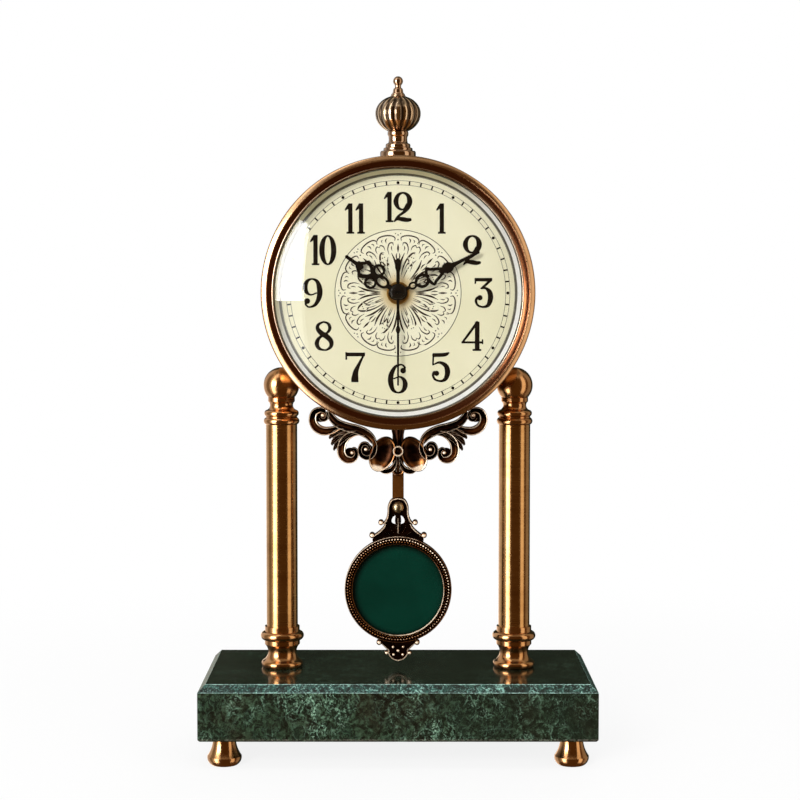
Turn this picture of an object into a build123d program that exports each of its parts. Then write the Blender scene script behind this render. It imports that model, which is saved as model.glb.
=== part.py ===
from build123d import *
from math import asin, atan2, cos, degrees, pi, radians, sin, sqrt
import os

# A desk pendulum clock: marble slab, two turned columns, a drum case with its dial, and a pendulum.
# X runs right, Y away from the viewer, Z up. The origin is on the table under the slab's centre.

# Marble slab and feet
slab_width = 201.0
slab_depth = 100.0
slab_thickness = 28.6
slab_bevel = 3.8
slab_arris = 1.0
foot_height = 14.0
foot_inset_x = 12.5
foot_inset_y = 12.0
foot_neck_diameter = 11.6
foot_flare_diameter = 17.4
foot_flare_height = 4.5
foot_sole_diameter = 13.0
foot_stud_diameter = 4.0
foot_stud_length = 10.0

# Columns, from the slab up
column_tuck = 8.1
plinth_seat_diameter = 19.8
plinth_bulge_diameter = 21.9
plinth_bulge_height = 3.6
plinth_waist_diameter = 15.0
plinth_waist_height = 8.5
plinth_ring_diameter = 18.4
plinth_ring_height = 2.2
plinth_torus_diameter = 22.6
plinth_torus_height = 4.6
plinth_collar_diameter = 18.2
plinth_collar_height = 2.7
tube_diameter = 16.3
tube_wall = 0.9
tube_length = 105.8
tube_spigot = 5.0
capital_torus_diameter = 18.6
capital_torus_height = 3.5
capital_groove = 0.7
capital_upper_diameter = 18.0
capital_upper_height = 3.2
capital_neck_diameter = 12.0
capital_neck_height = 4.6
capital_ring_diameter = 13.9
capital_ring_height = 2.0
ball_diameter = 18.6
ball_flat_diameter = 13.5
ball_seat_depth = 0.7
tie_rod_diameter = 5.0
tie_rod_clearance = 0.1
tie_rod_engagement = 3.9
tie_rod_stand = 1.0
nut_flats = 8.0
nut_height = 4.0
nut_flange_diameter = 13.0
nut_flange_height = 1.5
nut_well_diameter = 15.0
nut_well_depth = 9.0

# Drum case, bezel, glass and dial
case_diameter = 137.6
case_wall = 1.5
case_depth = 48.0
case_flange_width = 5.5
case_flange_thickness = 1.5
dial_setback = 20.0
dial_thickness = 1.0
dial_clearance = 0.1
dial_bore_clearance = 0.1
dial_ring_depth = 6.0
dial_ring_slope = 2.9
dial_ring_reveal = 0.4
dial_nut_chamfer = 0.5
bezel_overhang = 0.6
bezel_roll = 3.6
bezel_roll_height = 5.6
bezel_cove = 3.0
bezel_cove_hollow = 0.25
bezel_groove_width = 0.3
bezel_groove_depth = 0.5
bezel_step = 0.6
bezel_lip_thickness = 0.8
bezel_spigot_depth = 4.0
bezel_spigot_wall = 2.5
glass_lap = 1.6
glass_thickness = 1.8
glass_rise = 11.0
glass_clearance = 0.1
cover_thickness = 1.2
cover_spigot_wall = 1.1
cover_spigot_depth = 7.0
cover_opening_diameter = 80.0
cover_screw_diameter = 2.5
cover_screw_head_diameter = 4.8
cover_screw_head_height = 1.4
ball_screw_diameter = 4.0
ball_screw_head_diameter = 7.0
ball_screw_head_height = 2.4
ball_screw_stop = 2.5

# Finial
finial_foot_diameter = 18.4
finial_foot_height = 4.3
finial_step_diameter = 15.0
finial_step_height = 1.6
finial_collar_diameter = 12.7
finial_collar_height = 2.2
finial_neck_diameter = 9.6
finial_neck_height = 3.8
finial_bead_diameter = 10.7
finial_bead_height = 2.7
melon_diameter = 23.6
melon_height = 17.5
melon_seat_diameter = 10.0
melon_lobes = 16
melon_flute_radius = 1.0
tip_cone_diameter = 7.5
tip_neck_diameter = 3.4
tip_cone_height = 6.0
tip_ball_diameter = 5.1
finial_screw_diameter = 4.0
finial_screw_head_diameter = 8.0
finial_screw_head_height = 3.0
finial_screw_engagement = 3.5

# Scroll crest under the drum: places are (x, height from the drum axis) of its right half,
# drawn for a drum of crest_case_diameter and scaled to the real one
crest_case_diameter = 137.6
crest_back_y = -5.0
crest_thickness = 5.0
volute_centre = (39.1, -65.3)
volute_radius = 7.0
volute_band = 1.9
volute_eye_radius = 2.6
c_scroll_centre = (20.3, -78.8)
c_scroll_radius = 6.8
c_scroll_band = 4.6
lower_scroll_centre = (25.2, -82.0)
lower_scroll_radius = 5.1
ball_scroll_centre = (15.9, -81.0)
ball_scroll_radius = 4.2
arm_band = 3.0
leaf_band = 2.6
lower_arm = ((36.5, -71.0), (31.5, -70.8), (24.0, -71.6))
upper_arm = ((33.6, -63.8), (30.4, -68.6), (22.0, -71.0))
upper_leaf = ((25.5, -72.5), (30.5, -72.6), (33.4, -75.0))
lower_leaf = ((26.0, -74.5), (29.8, -75.8), (31.8, -79.2))
petal_centre = (7.4, -82.2)
petal_half_width = 5.4
petal_half_height = 8.7
petal_lean = 20.0
drape_half_width = 7.8
drape_half_height = 5.2
drape_drop = -88.4
lip_radius = 3.3
lip_drop = -91.3
tab_width = 6.6
tab_drop = -82.0
crest_boss_diameter = 5.0
crest_boss_length = 2.6
crest_screw_diameter = 2.4
crest_screw_head_diameter = 4.6
crest_screw_head_height = 1.6

# Quartz movement
housing_above_axis = 31.0
housing_below_axis = 36.0
housing_depth = 14.0
housing_wall = 1.5
housing_corner = 3.0
back_plate_thickness = 2.0
bushing_diameter = 8.0
bushing_wall = 1.35
bushing_stand = 0.3
dial_nut_diameter = 11.6
dial_nut_height = 2.0
running_clearance = 0.05
hour_pipe_wall = 0.85
minute_pipe_wall = 0.9
second_arbor_diameter = 1.5
wheel_thickness = 0.8
pinion_thickness = 1.2
layer_step = 1.55
first_layer_gap = 0.75
motion_module = 0.4
train_module = 0.3
rotor_module = 0.25
cannon_teeth = 15
minute_wheel_teeth = 45
minute_pinion_teeth = 12
hour_wheel_teeth = 48
knob_teeth = 15
second_pinion_teeth = 8
third_wheel_teeth = 64
third_pinion_teeth = 8
centre_wheel_teeth = 60
second_wheel_teeth = 40
fifth_pinion_teeth = 8
fifth_wheel_teeth = 48
rotor_teeth = 8
minute_wheel_bearing = -30.0
third_wheel_bearing = 200.0
fifth_wheel_bearing = 20.0
rotor_bearing = -50.0
knob_bearing = -75.0
minute_post_diameter = 2.0
train_post_diameter = 1.0
rotor_post_diameter = 0.8
third_arbor_diameter = 1.0
clutch_diameter = 4.0
knob_shaft_diameter = 2.4
knob_diameter = 12.0
knob_height = 6.7
knob_stand = 0.3
knob_ribs = 18
pivot_hole_depth = 0.7
rotor_magnet_diameter = 4.4
rotor_magnet_length = 2.6
stator_thickness = 1.0
stator_air_gap = 0.4
stator_ring_width = 1.8
stator_leg = 3.5
coil_diameter = 5.4
coil_length = 18.0
coil_drop = 15.0
coil_shift = -7.0
core_height = 3.0
core_thickness = 1.2
board_width = 17.0
board_height = 10.0
board_thickness = 0.8
battery_diameter = 14.5
battery_length = 49.0
battery_nub_diameter = 5.5
battery_nub_length = 1.5
battery_clearance = 0.05
battery_headroom = 0.35
battery_end_play = 0.15
contact_thickness = 0.6
contact_size = 9.0
cradle_wall = 1.2

# Hands, pointing the way they stand at ten minutes past ten
hour_hand_bearing = 305.25
minute_hand_bearing = 63.0
second_hand_bearing = 180.0
hand_thickness = 0.4
hand_gap = 0.8
hour_hand_length = 32.5
hour_hub_diameter = 7.2
hour_bar_width = 1.5
hour_loop_place = 9.8
hour_loop = (3.0, 3.9)
hour_loop_hole = (1.7, 2.5)
hour_ring_place = (3.8, 14.5)
hour_ring_radius = 3.1
hour_ring_hole_radius = 2.0
hour_head_place = 20.2
hour_head = (4.2, 6.0)
hour_head_hole = (2.2, 2.6)
minute_hand_length = 46.0
minute_hub_diameter = 6.0
minute_bar_width = 1.7
minute_loop_place = 13.3
minute_loop = (3.2, 4.2)
minute_loop_hole = (1.9, 2.6)
minute_waist_place = 20.6
minute_waist = (3.9, 5.4)
minute_waist_hole = (2.2, 3.6)
minute_head_place = 28.2
minute_head = (2.4, 4.2)
second_hand_length = 46.8
second_tail_length = 17.6
second_hand_width = 1.2
second_tail_width = 2.0
cap_diameter = 8.4
cap_height = 1.6

# Pendulum
pivot_drop = 10.6
pivot_pin_diameter = 2.0
pivot_head_diameter = 4.0
pivot_head_height = 0.8
pivot_pad_height = 0.15
pivot_end_play = 0.15
hanger_hub_diameter = 6.4
hanger_width = 7.0
hanger_length = 28.0
hanger_thickness = 1.2
magnet_drop = 16.0
magnet_diameter = 8.0
magnet_thickness = 0.8
drive_coil_diameter = 14.0
drive_coil_bore = 4.0
drive_coil_thickness = 1.5
rod_width = 5.9
rod_thickness = 1.2
rod_top_drop = 4.0
rod_slot_clearance = 2.0
rod_end = 3.5
rivet_diameter = 2.0
rivet_head_diameter = 3.6
rivet_head_height = 0.6
rod_rivet_drop = 24.0
bob_slab_gap = 3.12
bob_rim = 2.95
bob_lap = 1.45
bob_front = 5.2
bob_back = 0.6
insert_diameter = 50.0
insert_thickness = 1.8
insert_clearance = 0.1
bob_back_lap = 2.0
bob_back_thickness = 0.8
bob_plate_thickness = 3.0
bob_arch_width = 10.4
bob_arch_stand = 15.15
bob_shoulder_width = 16.4
bob_shoulder_stand = 6.25
bob_skirt_width = 28.0
bob_skirt_sink = 2.95
bob_bead_diameter = 3.2
upper_bead_x = 9.2
upper_bead_stand = 6.65
lower_bead_x = 13.7
lower_bead_sink = 0.25
drop_length = 10.05
drop_width = 12.8
drop_shoulder_length = 5.05
drop_root_width = 21.0
drop_root_sink = 1.95
drop_bead_x = 10.0
dome_rivet_diameter = 6.1
dome_rivet_height = 2.0
swing = 6.9

# Places worked out from the sizes above
slab_top = foot_height + slab_thickness
foot_x = slab_width / 2 - foot_inset_x
foot_y = slab_depth / 2 - foot_inset_y
column_spacing = case_diameter - 2 * column_tuck
column_x = column_spacing / 2
plinth_height = (plinth_bulge_height + plinth_waist_height + plinth_ring_height
                 + plinth_torus_height + plinth_collar_height)
tube_bottom = slab_top + plinth_height
tube_top = tube_bottom + tube_length
capital_height = (capital_torus_height + capital_groove + capital_upper_height
                  + capital_neck_height + capital_ring_height)
capital_top = tube_top + capital_height
ball_radius = ball_diameter / 2
ball_z = capital_top + sqrt(ball_radius**2 - (ball_flat_diameter / 2) ** 2)
case_radius = case_diameter / 2
case_inner = case_radius - case_wall
ball_to_axis = case_radius + ball_radius - ball_seat_depth
axis_z = ball_z + sqrt(ball_to_axis**2 - column_x**2)
ball_bearing = degrees(atan2(ball_z - axis_z, column_x))

dial_front = -dial_setback
dial_back = dial_front + dial_thickness
case_front = dial_front - bezel_spigot_depth
case_back = case_front + case_depth
glass_back = dial_front - dial_ring_depth
glass_front = glass_back - glass_thickness
bezel_radius = case_radius + bezel_overhang
roll_inner = bezel_radius - bezel_roll
lip_radius_inner = roll_inner - bezel_cove
glass_radius = lip_radius_inner + glass_lap
dial_ring_front = lip_radius_inner - dial_ring_reveal
dial_opening = dial_ring_front - dial_ring_slope
ring_pocket = case_inner - bezel_spigot_wall
lip_front = glass_front - bezel_lip_thickness
case_top = axis_z + case_radius

movement_front = dial_back
wall_back = movement_front + housing_wall
plate_front = movement_front + housing_depth
plate_back = plate_front + back_plate_thickness
bushing_front = dial_front - dial_nut_height - bushing_stand
hour_pipe_outer = bushing_diameter / 2 - bushing_wall - running_clearance
hour_pipe_inner = hour_pipe_outer - hour_pipe_wall
minute_pipe_outer = hour_pipe_inner - running_clearance
minute_pipe_inner = minute_pipe_outer - minute_pipe_wall
second_arbor = second_arbor_diameter / 2
hour_hand_y = bushing_front - bushing_stand
minute_hand_y = hour_hand_y - hand_thickness - hand_gap
second_hand_y = minute_hand_y - hand_thickness - hand_gap
pivot_z = axis_z - pivot_drop
rod_front = -rod_thickness / 2
rod_back = rod_thickness / 2
hanger_front = rod_front - hanger_thickness
bob_diameter = insert_diameter + 2 * bob_rim
bob_opening_diameter = insert_diameter - 2 * bob_lap
bob_back_diameter = insert_diameter + 2 * bob_back_lap
bob_radius = bob_diameter / 2
bob_z = slab_top + bob_slab_gap + drop_length + bob_radius
bob_drop = pivot_z - bob_z
bob_arch_rise = bob_radius + bob_arch_stand
bob_shoulder_rise = bob_radius + bob_shoulder_stand
bob_skirt_rise = bob_radius - bob_skirt_sink
drop_tip = -bob_radius - drop_length
drop_shoulder = -bob_radius - drop_shoulder_length
drop_root = -bob_radius + drop_root_sink
bob_beads = (
    (upper_bead_x, bob_radius + upper_bead_stand),
    (lower_bead_x, bob_radius - lower_bead_sink),
    (drop_bead_x, -bob_radius),
)


def layer(number):
    """Middle of a wheel layer, counted from the dial side."""
    return wall_back + first_layer_gap + layer_step * (number - 1)


def polar(distance, bearing):
    """Sideways and upward parts of a distance at a bearing from the drum axis."""
    return distance * cos(radians(bearing)), distance * sin(radians(bearing))


def mesh_distance(module, teeth, other_teeth):
    return module * (teeth + other_teeth) / 2


motion_distance = mesh_distance(motion_module, cannon_teeth, minute_wheel_teeth)
train_distance = mesh_distance(train_module, second_pinion_teeth, third_wheel_teeth)
centre_module = 2 * train_distance / (third_pinion_teeth + centre_wheel_teeth)
hour_module = 2 * motion_distance / (minute_pinion_teeth + hour_wheel_teeth)
fifth_distance = mesh_distance(train_module, fifth_pinion_teeth, second_wheel_teeth)
rotor_distance = mesh_distance(rotor_module, rotor_teeth, fifth_wheel_teeth)
knob_distance = mesh_distance(motion_module, knob_teeth, minute_wheel_teeth)
minute_wheel_x, minute_wheel_rise = polar(motion_distance, minute_wheel_bearing)
third_wheel_x, third_wheel_rise = polar(train_distance, third_wheel_bearing)
fifth_wheel_x, fifth_wheel_rise = polar(fifth_distance, fifth_wheel_bearing)
rotor_step_x, rotor_step_rise = polar(rotor_distance, rotor_bearing)
knob_step_x, knob_step_rise = polar(knob_distance, knob_bearing)
rotor_x = fifth_wheel_x + rotor_step_x
rotor_rise = fifth_wheel_rise + rotor_step_rise
knob_x = minute_wheel_x + knob_step_x
knob_rise = minute_wheel_rise + knob_step_rise
stator_back = plate_front - (rotor_magnet_length + stator_thickness) / 2 + stator_air_gap
stator_front = stator_back - stator_thickness
battery_rise = housing_above_axis - housing_wall - battery_diameter / 2 - battery_headroom
battery_y = wall_back + battery_diameter / 2 + battery_clearance
battery_reach = (battery_length + battery_nub_length) / 2
housing_width = 2 * (battery_reach + battery_end_play + contact_thickness + housing_wall)

os.makedirs("parts", exist_ok=True)


def save(piece, label):
    piece.part.label = label
    export_step(piece.part, f"parts/{label}.step")


def facing(y, x=0.0, z=0.0, bearing=0.0):
    """Plane that faces the viewer, its x to the right and its y up, turned clockwise by a bearing."""
    turn = radians(bearing)
    return Plane(origin=(x, y, z), x_dir=(cos(turn), 0, -sin(turn)), z_dir=(0, -1, 0))


def radial(bearing, y):
    """Plane square to a ray from the drum axis, its normal pointing outwards."""
    outward = (cos(radians(bearing)), 0, sin(radians(bearing)))
    return Plane(origin=(0, y, axis_z), x_dir=(0, 1, 0), z_dir=outward)


def upright_axis(x=0.0, y=0.0):
    return Axis((x, y, 0), (0, 0, 1))


def dial_axis(x=0.0, z=axis_z):
    return Axis((x, 0, z), (0, 1, 0))


def dial_section():
    """Plane of sections turned about the drum axis: x is the radius, y the depth."""
    return Plane.XY.offset(axis_z)


def drum(radius, front, back, mode=Mode.ADD, x=0.0, rise=0.0):
    """Cylinder along the dial axis between two depths."""
    with BuildSketch(facing(back, x, axis_z + rise)) as end:
        Circle(radius)
    extrude(end.sketch, amount=back - front, mode=mode)


def toothed_wheel(teeth, module, tooth_bearing, middle_y, thickness, x=0.0, rise=0.0):
    """Toothed wheel with play at the flanks, one tooth centred on the bearing."""
    pitch = 2 * pi / teeth
    pitch_radius = module * teeth / 2
    flank = (
        (pitch_radius - 1.05 * module, 0.33),
        (pitch_radius, 0.19),
        (pitch_radius + 0.7 * module, 0.08),
    )
    tooth = [(radius, -share) for radius, share in flank] + [(radius, share) for radius, share in reversed(flank)]
    points = []
    for number in range(teeth):
        middle = radians(tooth_bearing) + number * pitch
        for radius, share in tooth:
            turn = middle + share * pitch
            points.append((radius * cos(turn), radius * sin(turn)))
    with BuildSketch(facing(middle_y + thickness / 2, x, axis_z + rise)) as outline:
        with BuildLine():
            Polyline(*points, close=True)
        make_face()
    extrude(outline.sketch, amount=thickness)


def gap_bearing(teeth, bearing):
    """Bearing of a tooth when a gap faces the given bearing."""
    return bearing + 180.0 / teeth


def dome_line(reach, edge, apex):
    """Arc of a dome from its edge to the middle, in a section of radius and depth."""
    rise = abs(apex - edge)
    sphere = (reach**2 + rise**2) / (2 * rise)
    half = asin(reach / sphere) / 2
    toward_edge = 1 if edge > apex else -1
    middle = apex + toward_edge * sphere * (1 - cos(half))
    ThreePointArc((reach, edge), (sphere * sin(half), middle), (0, apex))


# Base slab
with BuildPart() as slab:
    with BuildSketch(Plane.XY.offset(foot_height)):
        Rectangle(slab_width, slab_depth)
    extrude(amount=slab_thickness)
    chamfer(slab.faces().sort_by(Axis.Z)[-1].edges(), length=slab_bevel)
    chamfer(slab.faces().sort_by(Axis.Z)[0].edges(), length=slab_arris)
    with BuildSketch(Plane.XY.offset(foot_height)):
        with GridLocations(column_spacing, 0, 2, 1):
            Circle(nut_well_diameter / 2)
    extrude(amount=nut_well_depth, mode=Mode.SUBTRACT)
    with BuildSketch(Plane.XY.offset(foot_height)):
        with GridLocations(column_spacing, 0, 2, 1):
            Circle(tie_rod_diameter / 2 + tie_rod_clearance)
    extrude(amount=slab_thickness, mode=Mode.SUBTRACT)
    with BuildSketch(Plane.XY.offset(foot_height)):
        with GridLocations(2 * foot_x, 2 * foot_y, 2, 2):
            Circle(foot_stud_diameter / 2)
    extrude(amount=foot_stud_length, mode=Mode.SUBTRACT)
save(slab, "base_slab")


def make_foot(label, x, y):
    """Turned foot: round-edged sole, flare and hollow neck, with the stud that screws into the slab."""
    with BuildPart() as foot:
        with BuildSketch(facing(y, x)):
            with BuildLine():
                flare = foot_flare_diameter / 2
                neck = foot_neck_diameter / 2
                hollow = (neck + (flare - neck) * 0.2, (foot_flare_height + foot_height) / 2)
                Line((0, 0), (foot_sole_diameter / 2, 0))
                ThreePointArc(
                    (foot_sole_diameter / 2, 0),
                    (flare * 0.95, foot_flare_height * 0.4),
                    (flare, foot_flare_height),
                )
                ThreePointArc((flare, foot_flare_height), hollow, (neck, foot_height))
                Polyline(
                    (neck, foot_height),
                    (foot_stud_diameter / 2, foot_height),
                    (foot_stud_diameter / 2, foot_height + foot_stud_length),
                    (0, foot_height + foot_stud_length),
                    (0, 0),
                )
            make_face()
        revolve(axis=upright_axis(x, y))
    save(foot, label)


for depth_name, side_y in (("front", -1), ("rear", 1)):
    for side_name, side_x in (("left", -1), ("right", 1)):
        make_foot(f"foot_{depth_name}_{side_name}", side_x * foot_x, side_y * foot_y)


def make_plinth(label, x):
    """Turned column base: bulge, hollow waist, ring, torus and collar, with a spigot for the tube."""
    bore = tie_rod_diameter / 2 + tie_rod_clearance
    waist_bottom = slab_top + plinth_bulge_height
    ring_bottom = waist_bottom + plinth_waist_height
    torus_bottom = ring_bottom + plinth_ring_height
    collar_bottom = torus_bottom + plinth_torus_height
    seat = plinth_seat_diameter / 2
    ring = plinth_ring_diameter / 2
    collar = plinth_collar_diameter / 2
    spigot = tube_diameter / 2 - tube_wall
    with BuildPart() as plinth:
        with BuildSketch(facing(0, x)):
            with BuildLine():
                Line((bore, slab_top), (seat, slab_top))
                ThreePointArc(
                    (seat, slab_top),
                    (plinth_bulge_diameter / 2, slab_top + plinth_bulge_height / 2),
                    (seat, waist_bottom),
                )
                ThreePointArc(
                    (seat, waist_bottom),
                    (plinth_waist_diameter / 2, waist_bottom + plinth_waist_height * 0.62),
                    (ring, ring_bottom),
                )
                Polyline((ring, ring_bottom), (ring, torus_bottom))
                ThreePointArc(
                    (ring, torus_bottom),
                    (plinth_torus_diameter / 2, torus_bottom + plinth_torus_height / 2),
                    (ring, collar_bottom),
                )
                Polyline(
                    (ring, collar_bottom),
                    (collar, collar_bottom),
                    (collar, tube_bottom),
                    (spigot, tube_bottom),
                    (spigot, tube_bottom + tube_spigot),
                    (bore, tube_bottom + tube_spigot),
                    (bore, slab_top),
                )
            make_face()
        revolve(axis=upright_axis(x))
    save(plinth, label)


def make_tube(label, x):
    with BuildPart() as tube:
        with BuildSketch(Plane(origin=(x, 0, tube_bottom))):
            Circle(tube_diameter / 2)
            Circle(tube_diameter / 2 - tube_wall, mode=Mode.SUBTRACT)
        extrude(amount=tube_length)
    save(tube, label)


def make_capital(label, x):
    """Turned column head: two tori, a hollow neck and the ring that the ball stands on."""
    bore = tie_rod_diameter / 2 + tie_rod_clearance
    spigot = tube_diameter / 2 - tube_wall
    groove_bottom = tube_top + capital_torus_height
    upper_bottom = groove_bottom + capital_groove
    neck_bottom = upper_bottom + capital_upper_height
    ring_bottom = neck_bottom + capital_neck_height
    torus = capital_torus_diameter / 2
    torus_edge = torus - capital_torus_height * 0.3
    upper = capital_upper_diameter / 2
    upper_edge = upper - capital_upper_height * 0.3
    ring = capital_ring_diameter / 2
    with BuildPart() as capital:
        with BuildSketch(facing(0, x)):
            with BuildLine():
                Polyline(
                    (bore, tube_top - tube_spigot),
                    (spigot, tube_top - tube_spigot),
                    (spigot, tube_top),
                    (torus_edge, tube_top),
                )
                ThreePointArc(
                    (torus_edge, tube_top),
                    (torus, tube_top + capital_torus_height / 2),
                    (torus_edge, groove_bottom),
                )
                Polyline((torus_edge, groove_bottom), (upper_edge, upper_bottom))
                ThreePointArc(
                    (upper_edge, upper_bottom),
                    (upper, upper_bottom + capital_upper_height / 2),
                    (upper_edge, neck_bottom),
                )
                ThreePointArc(
                    (upper_edge, neck_bottom),
                    (capital_neck_diameter / 2, neck_bottom + capital_neck_height * 0.6),
                    (ring, ring_bottom),
                )
                Polyline(
                    (ring, ring_bottom),
                    (ring, capital_top),
                    (bore, capital_top),
                    (bore, tube_top - tube_spigot),
                )
            make_face()
        revolve(axis=upright_axis(x))
    save(capital, label)


def make_ball(label, x, bearing):
    """Ball with a flat under it, a hollow for the drum wall and two threaded holes."""
    with BuildPart() as ball:
        with Locations((x, 0, ball_z)):
            Sphere(ball_radius)
        with BuildSketch(Plane(origin=(x, 0, capital_top))):
            Circle(ball_diameter)
        extrude(amount=-ball_diameter, mode=Mode.SUBTRACT)
        with BuildSketch(Plane(origin=(x, 0, capital_top))):
            Circle(tie_rod_diameter / 2)
        extrude(amount=tie_rod_engagement, mode=Mode.SUBTRACT)
        drum(case_radius, -ball_diameter, ball_diameter, Mode.SUBTRACT)
        with BuildSketch(radial(bearing, 0).offset(ball_to_axis - ball_screw_stop)):
            Circle(ball_screw_diameter / 2)
        extrude(amount=-ball_diameter, mode=Mode.SUBTRACT)
    save(ball, label)


def make_tie_rod(label, x):
    bottom = foot_height + nut_well_depth - nut_flange_height - nut_height - tie_rod_stand
    with BuildPart() as rod:
        with BuildSketch(Plane(origin=(x, 0, bottom))):
            Circle(tie_rod_diameter / 2)
        extrude(amount=capital_top + tie_rod_engagement - bottom)
    save(rod, label)


for side_name, side in (("left", -1), ("right", 1)):
    make_plinth(f"column_base_{side_name}", side * column_x)
    make_tube(f"column_tube_{side_name}", side * column_x)
    make_capital(f"column_capital_{side_name}", side * column_x)
    make_ball(f"column_ball_{side_name}", side * column_x, 90 - side * (90 - ball_bearing))
    make_tie_rod(f"tie_rod_{side_name}", side * column_x)

# Flanged nuts in the wells under the slab
with BuildPart() as tie_nuts:
    well_roof = foot_height + nut_well_depth
    with BuildSketch(Plane.XY.offset(well_roof)):
        with GridLocations(column_spacing, 0, 2, 1):
            Circle(nut_flange_diameter / 2)
    extrude(amount=-nut_flange_height)
    with BuildSketch(Plane.XY.offset(well_roof - nut_flange_height)):
        with GridLocations(column_spacing, 0, 2, 1):
            RegularPolygon(nut_flats / 2, 6, major_radius=False)
    extrude(amount=-nut_height)
    with BuildSketch(Plane.XY.offset(well_roof)):
        with GridLocations(column_spacing, 0, 2, 1):
            Circle(tie_rod_diameter / 2)
    extrude(amount=-nut_well_depth, mode=Mode.SUBTRACT)
save(tie_nuts, "tie_rod_nuts")

# Drum case: a tube with a flange for the dial, a slot for the pendulum and screw holes
slot_reach = (axis_z - case_radius - pivot_z) * sin(radians(-swing))
slot_width = 2 * slot_reach + rod_width + 2 * rod_slot_clearance
slot_depth = rod_thickness + 2 * rod_slot_clearance
cover_screw_y = case_back - cover_spigot_depth / 2
cover_screw_bearings = (30.0, 150.0, 270.0)
volute_bearing = degrees(atan2(volute_centre[1], volute_centre[0]))
crest_bearings = (volute_bearing, 180.0 - volute_bearing)
ball_bearings = (ball_bearing, 180.0 - ball_bearing)
crest_screw_y = crest_back_y - crest_thickness / 2


def drill_case(bearing, y, diameter):
    """Radial hole through the drum wall."""
    with BuildSketch(radial(bearing, y).offset(case_inner - case_wall)) as hole:
        Circle(diameter / 2)
    extrude(hole.sketch, amount=3 * case_wall, mode=Mode.SUBTRACT)


with BuildPart() as case:
    with BuildSketch(dial_section()):
        with BuildLine():
            Polyline(
                (case_radius, case_front),
                (case_radius, case_back),
                (case_inner, case_back),
                (case_inner, dial_back + case_flange_thickness),
                (case_inner - case_flange_width, dial_back + case_flange_thickness),
                (case_inner - case_flange_width, dial_back),
                (case_inner, dial_back),
                (case_inner, case_front),
                close=True,
            )
        make_face()
    revolve(axis=dial_axis())
    with BuildSketch(Plane.XY.offset(axis_z - case_inner + case_wall)):
        SlotOverall(slot_width, slot_depth)
    extrude(amount=-3 * case_wall, mode=Mode.SUBTRACT)
    for bearing in ball_bearings:
        drill_case(bearing, 0, ball_screw_diameter)
    for bearing in crest_bearings:
        drill_case(bearing, crest_screw_y, crest_screw_diameter)
    for bearing in cover_screw_bearings:
        drill_case(bearing, cover_screw_y, cover_screw_diameter)
    drill_case(90.0, 0, finial_screw_diameter)
save(case, "case_shell")


def inside_screw(bearing, y, diameter, head_diameter, head_height, reach):
    """Screw put in from inside the drum: its head's rim lies on the wall and its shank ends at a radius."""
    head_seat = sqrt(case_inner**2 - (head_diameter / 2) ** 2)
    head_plane = radial(bearing, y).offset(head_seat - head_height)
    with BuildSketch(head_plane) as head:
        Circle(head_diameter / 2)
    extrude(head.sketch, amount=head_height)
    with BuildSketch(head_plane) as shank:
        Circle(diameter / 2)
    extrude(shank.sketch, amount=reach - head_seat + head_height)


with BuildPart() as ball_screws:
    for bearing in ball_bearings:
        inside_screw(bearing, 0, ball_screw_diameter, ball_screw_head_diameter, ball_screw_head_height,
                     ball_to_axis - ball_screw_stop)
save(ball_screws, "ball_screws")

# Rear cover: a ring-shaped lid with an opening for the battery and the setting knob
with BuildPart() as rear_cover:
    with BuildSketch(dial_section()):
        with BuildLine():
            Polyline(
                (cover_opening_diameter / 2, case_back),
                (case_inner - cover_spigot_wall, case_back),
                (case_inner - cover_spigot_wall, case_back - cover_spigot_depth),
                (case_inner, case_back - cover_spigot_depth),
                (case_inner, case_back),
                (case_radius, case_back),
                (case_radius, case_back + cover_thickness),
                (cover_opening_diameter / 2, case_back + cover_thickness),
                close=True,
            )
        make_face()
    revolve(axis=dial_axis())
    for bearing in cover_screw_bearings:
        drill_case(bearing, cover_screw_y, cover_screw_diameter)
save(rear_cover, "rear_cover")

with BuildPart() as cover_screws:
    screw_tip = case_inner - cover_spigot_wall
    for bearing in cover_screw_bearings:
        with BuildSketch(radial(bearing, cover_screw_y).offset(screw_tip)):
            Circle(cover_screw_diameter / 2)
        extrude(amount=case_radius - screw_tip + cover_screw_head_height / 2)
        with BuildSketch(radial(bearing, cover_screw_y).offset(case_radius)):
            Circle(cover_screw_head_diameter / 2)
        extrude(amount=cover_screw_head_height)
save(cover_screws, "rear_cover_screws")

# Bezel: outer roll, fine groove and hollow cove down to the glass, with a spigot in the drum
with BuildPart() as bezel:
    roll_base = case_front - bezel_roll_height
    groove_edge = roll_inner - bezel_groove_width
    groove_floor = roll_base + bezel_groove_depth
    cove_top = roll_base - bezel_step
    cove_middle = ((groove_edge + lip_radius_inner) / 2 - bezel_cove_hollow,
                   (cove_top + lip_front) / 2 + bezel_cove_hollow)
    with BuildSketch(dial_section()):
        with BuildLine():
            Polyline(
                (ring_pocket, dial_front),
                (case_inner, dial_front),
                (case_inner, case_front),
                (bezel_radius, case_front),
                (bezel_radius, roll_base),
            )
            ThreePointArc(
                (bezel_radius, roll_base),
                (bezel_radius - bezel_roll / 2, roll_base - bezel_roll / 2),
                (roll_inner, roll_base),
            )
            Polyline(
                (roll_inner, roll_base),
                (roll_inner, groove_floor),
                (groove_edge, groove_floor),
                (groove_edge, cove_top),
            )
            ThreePointArc((groove_edge, cove_top), cove_middle, (lip_radius_inner, lip_front))
            Polyline(
                (lip_radius_inner, lip_front),
                (lip_radius_inner, glass_front),
                (glass_radius + glass_clearance, glass_front),
                (glass_radius + glass_clearance, glass_back),
                (ring_pocket, glass_back),
                (ring_pocket, dial_front),
            )
        make_face()
    revolve(axis=dial_axis())
save(bezel, "bezel")

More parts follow.
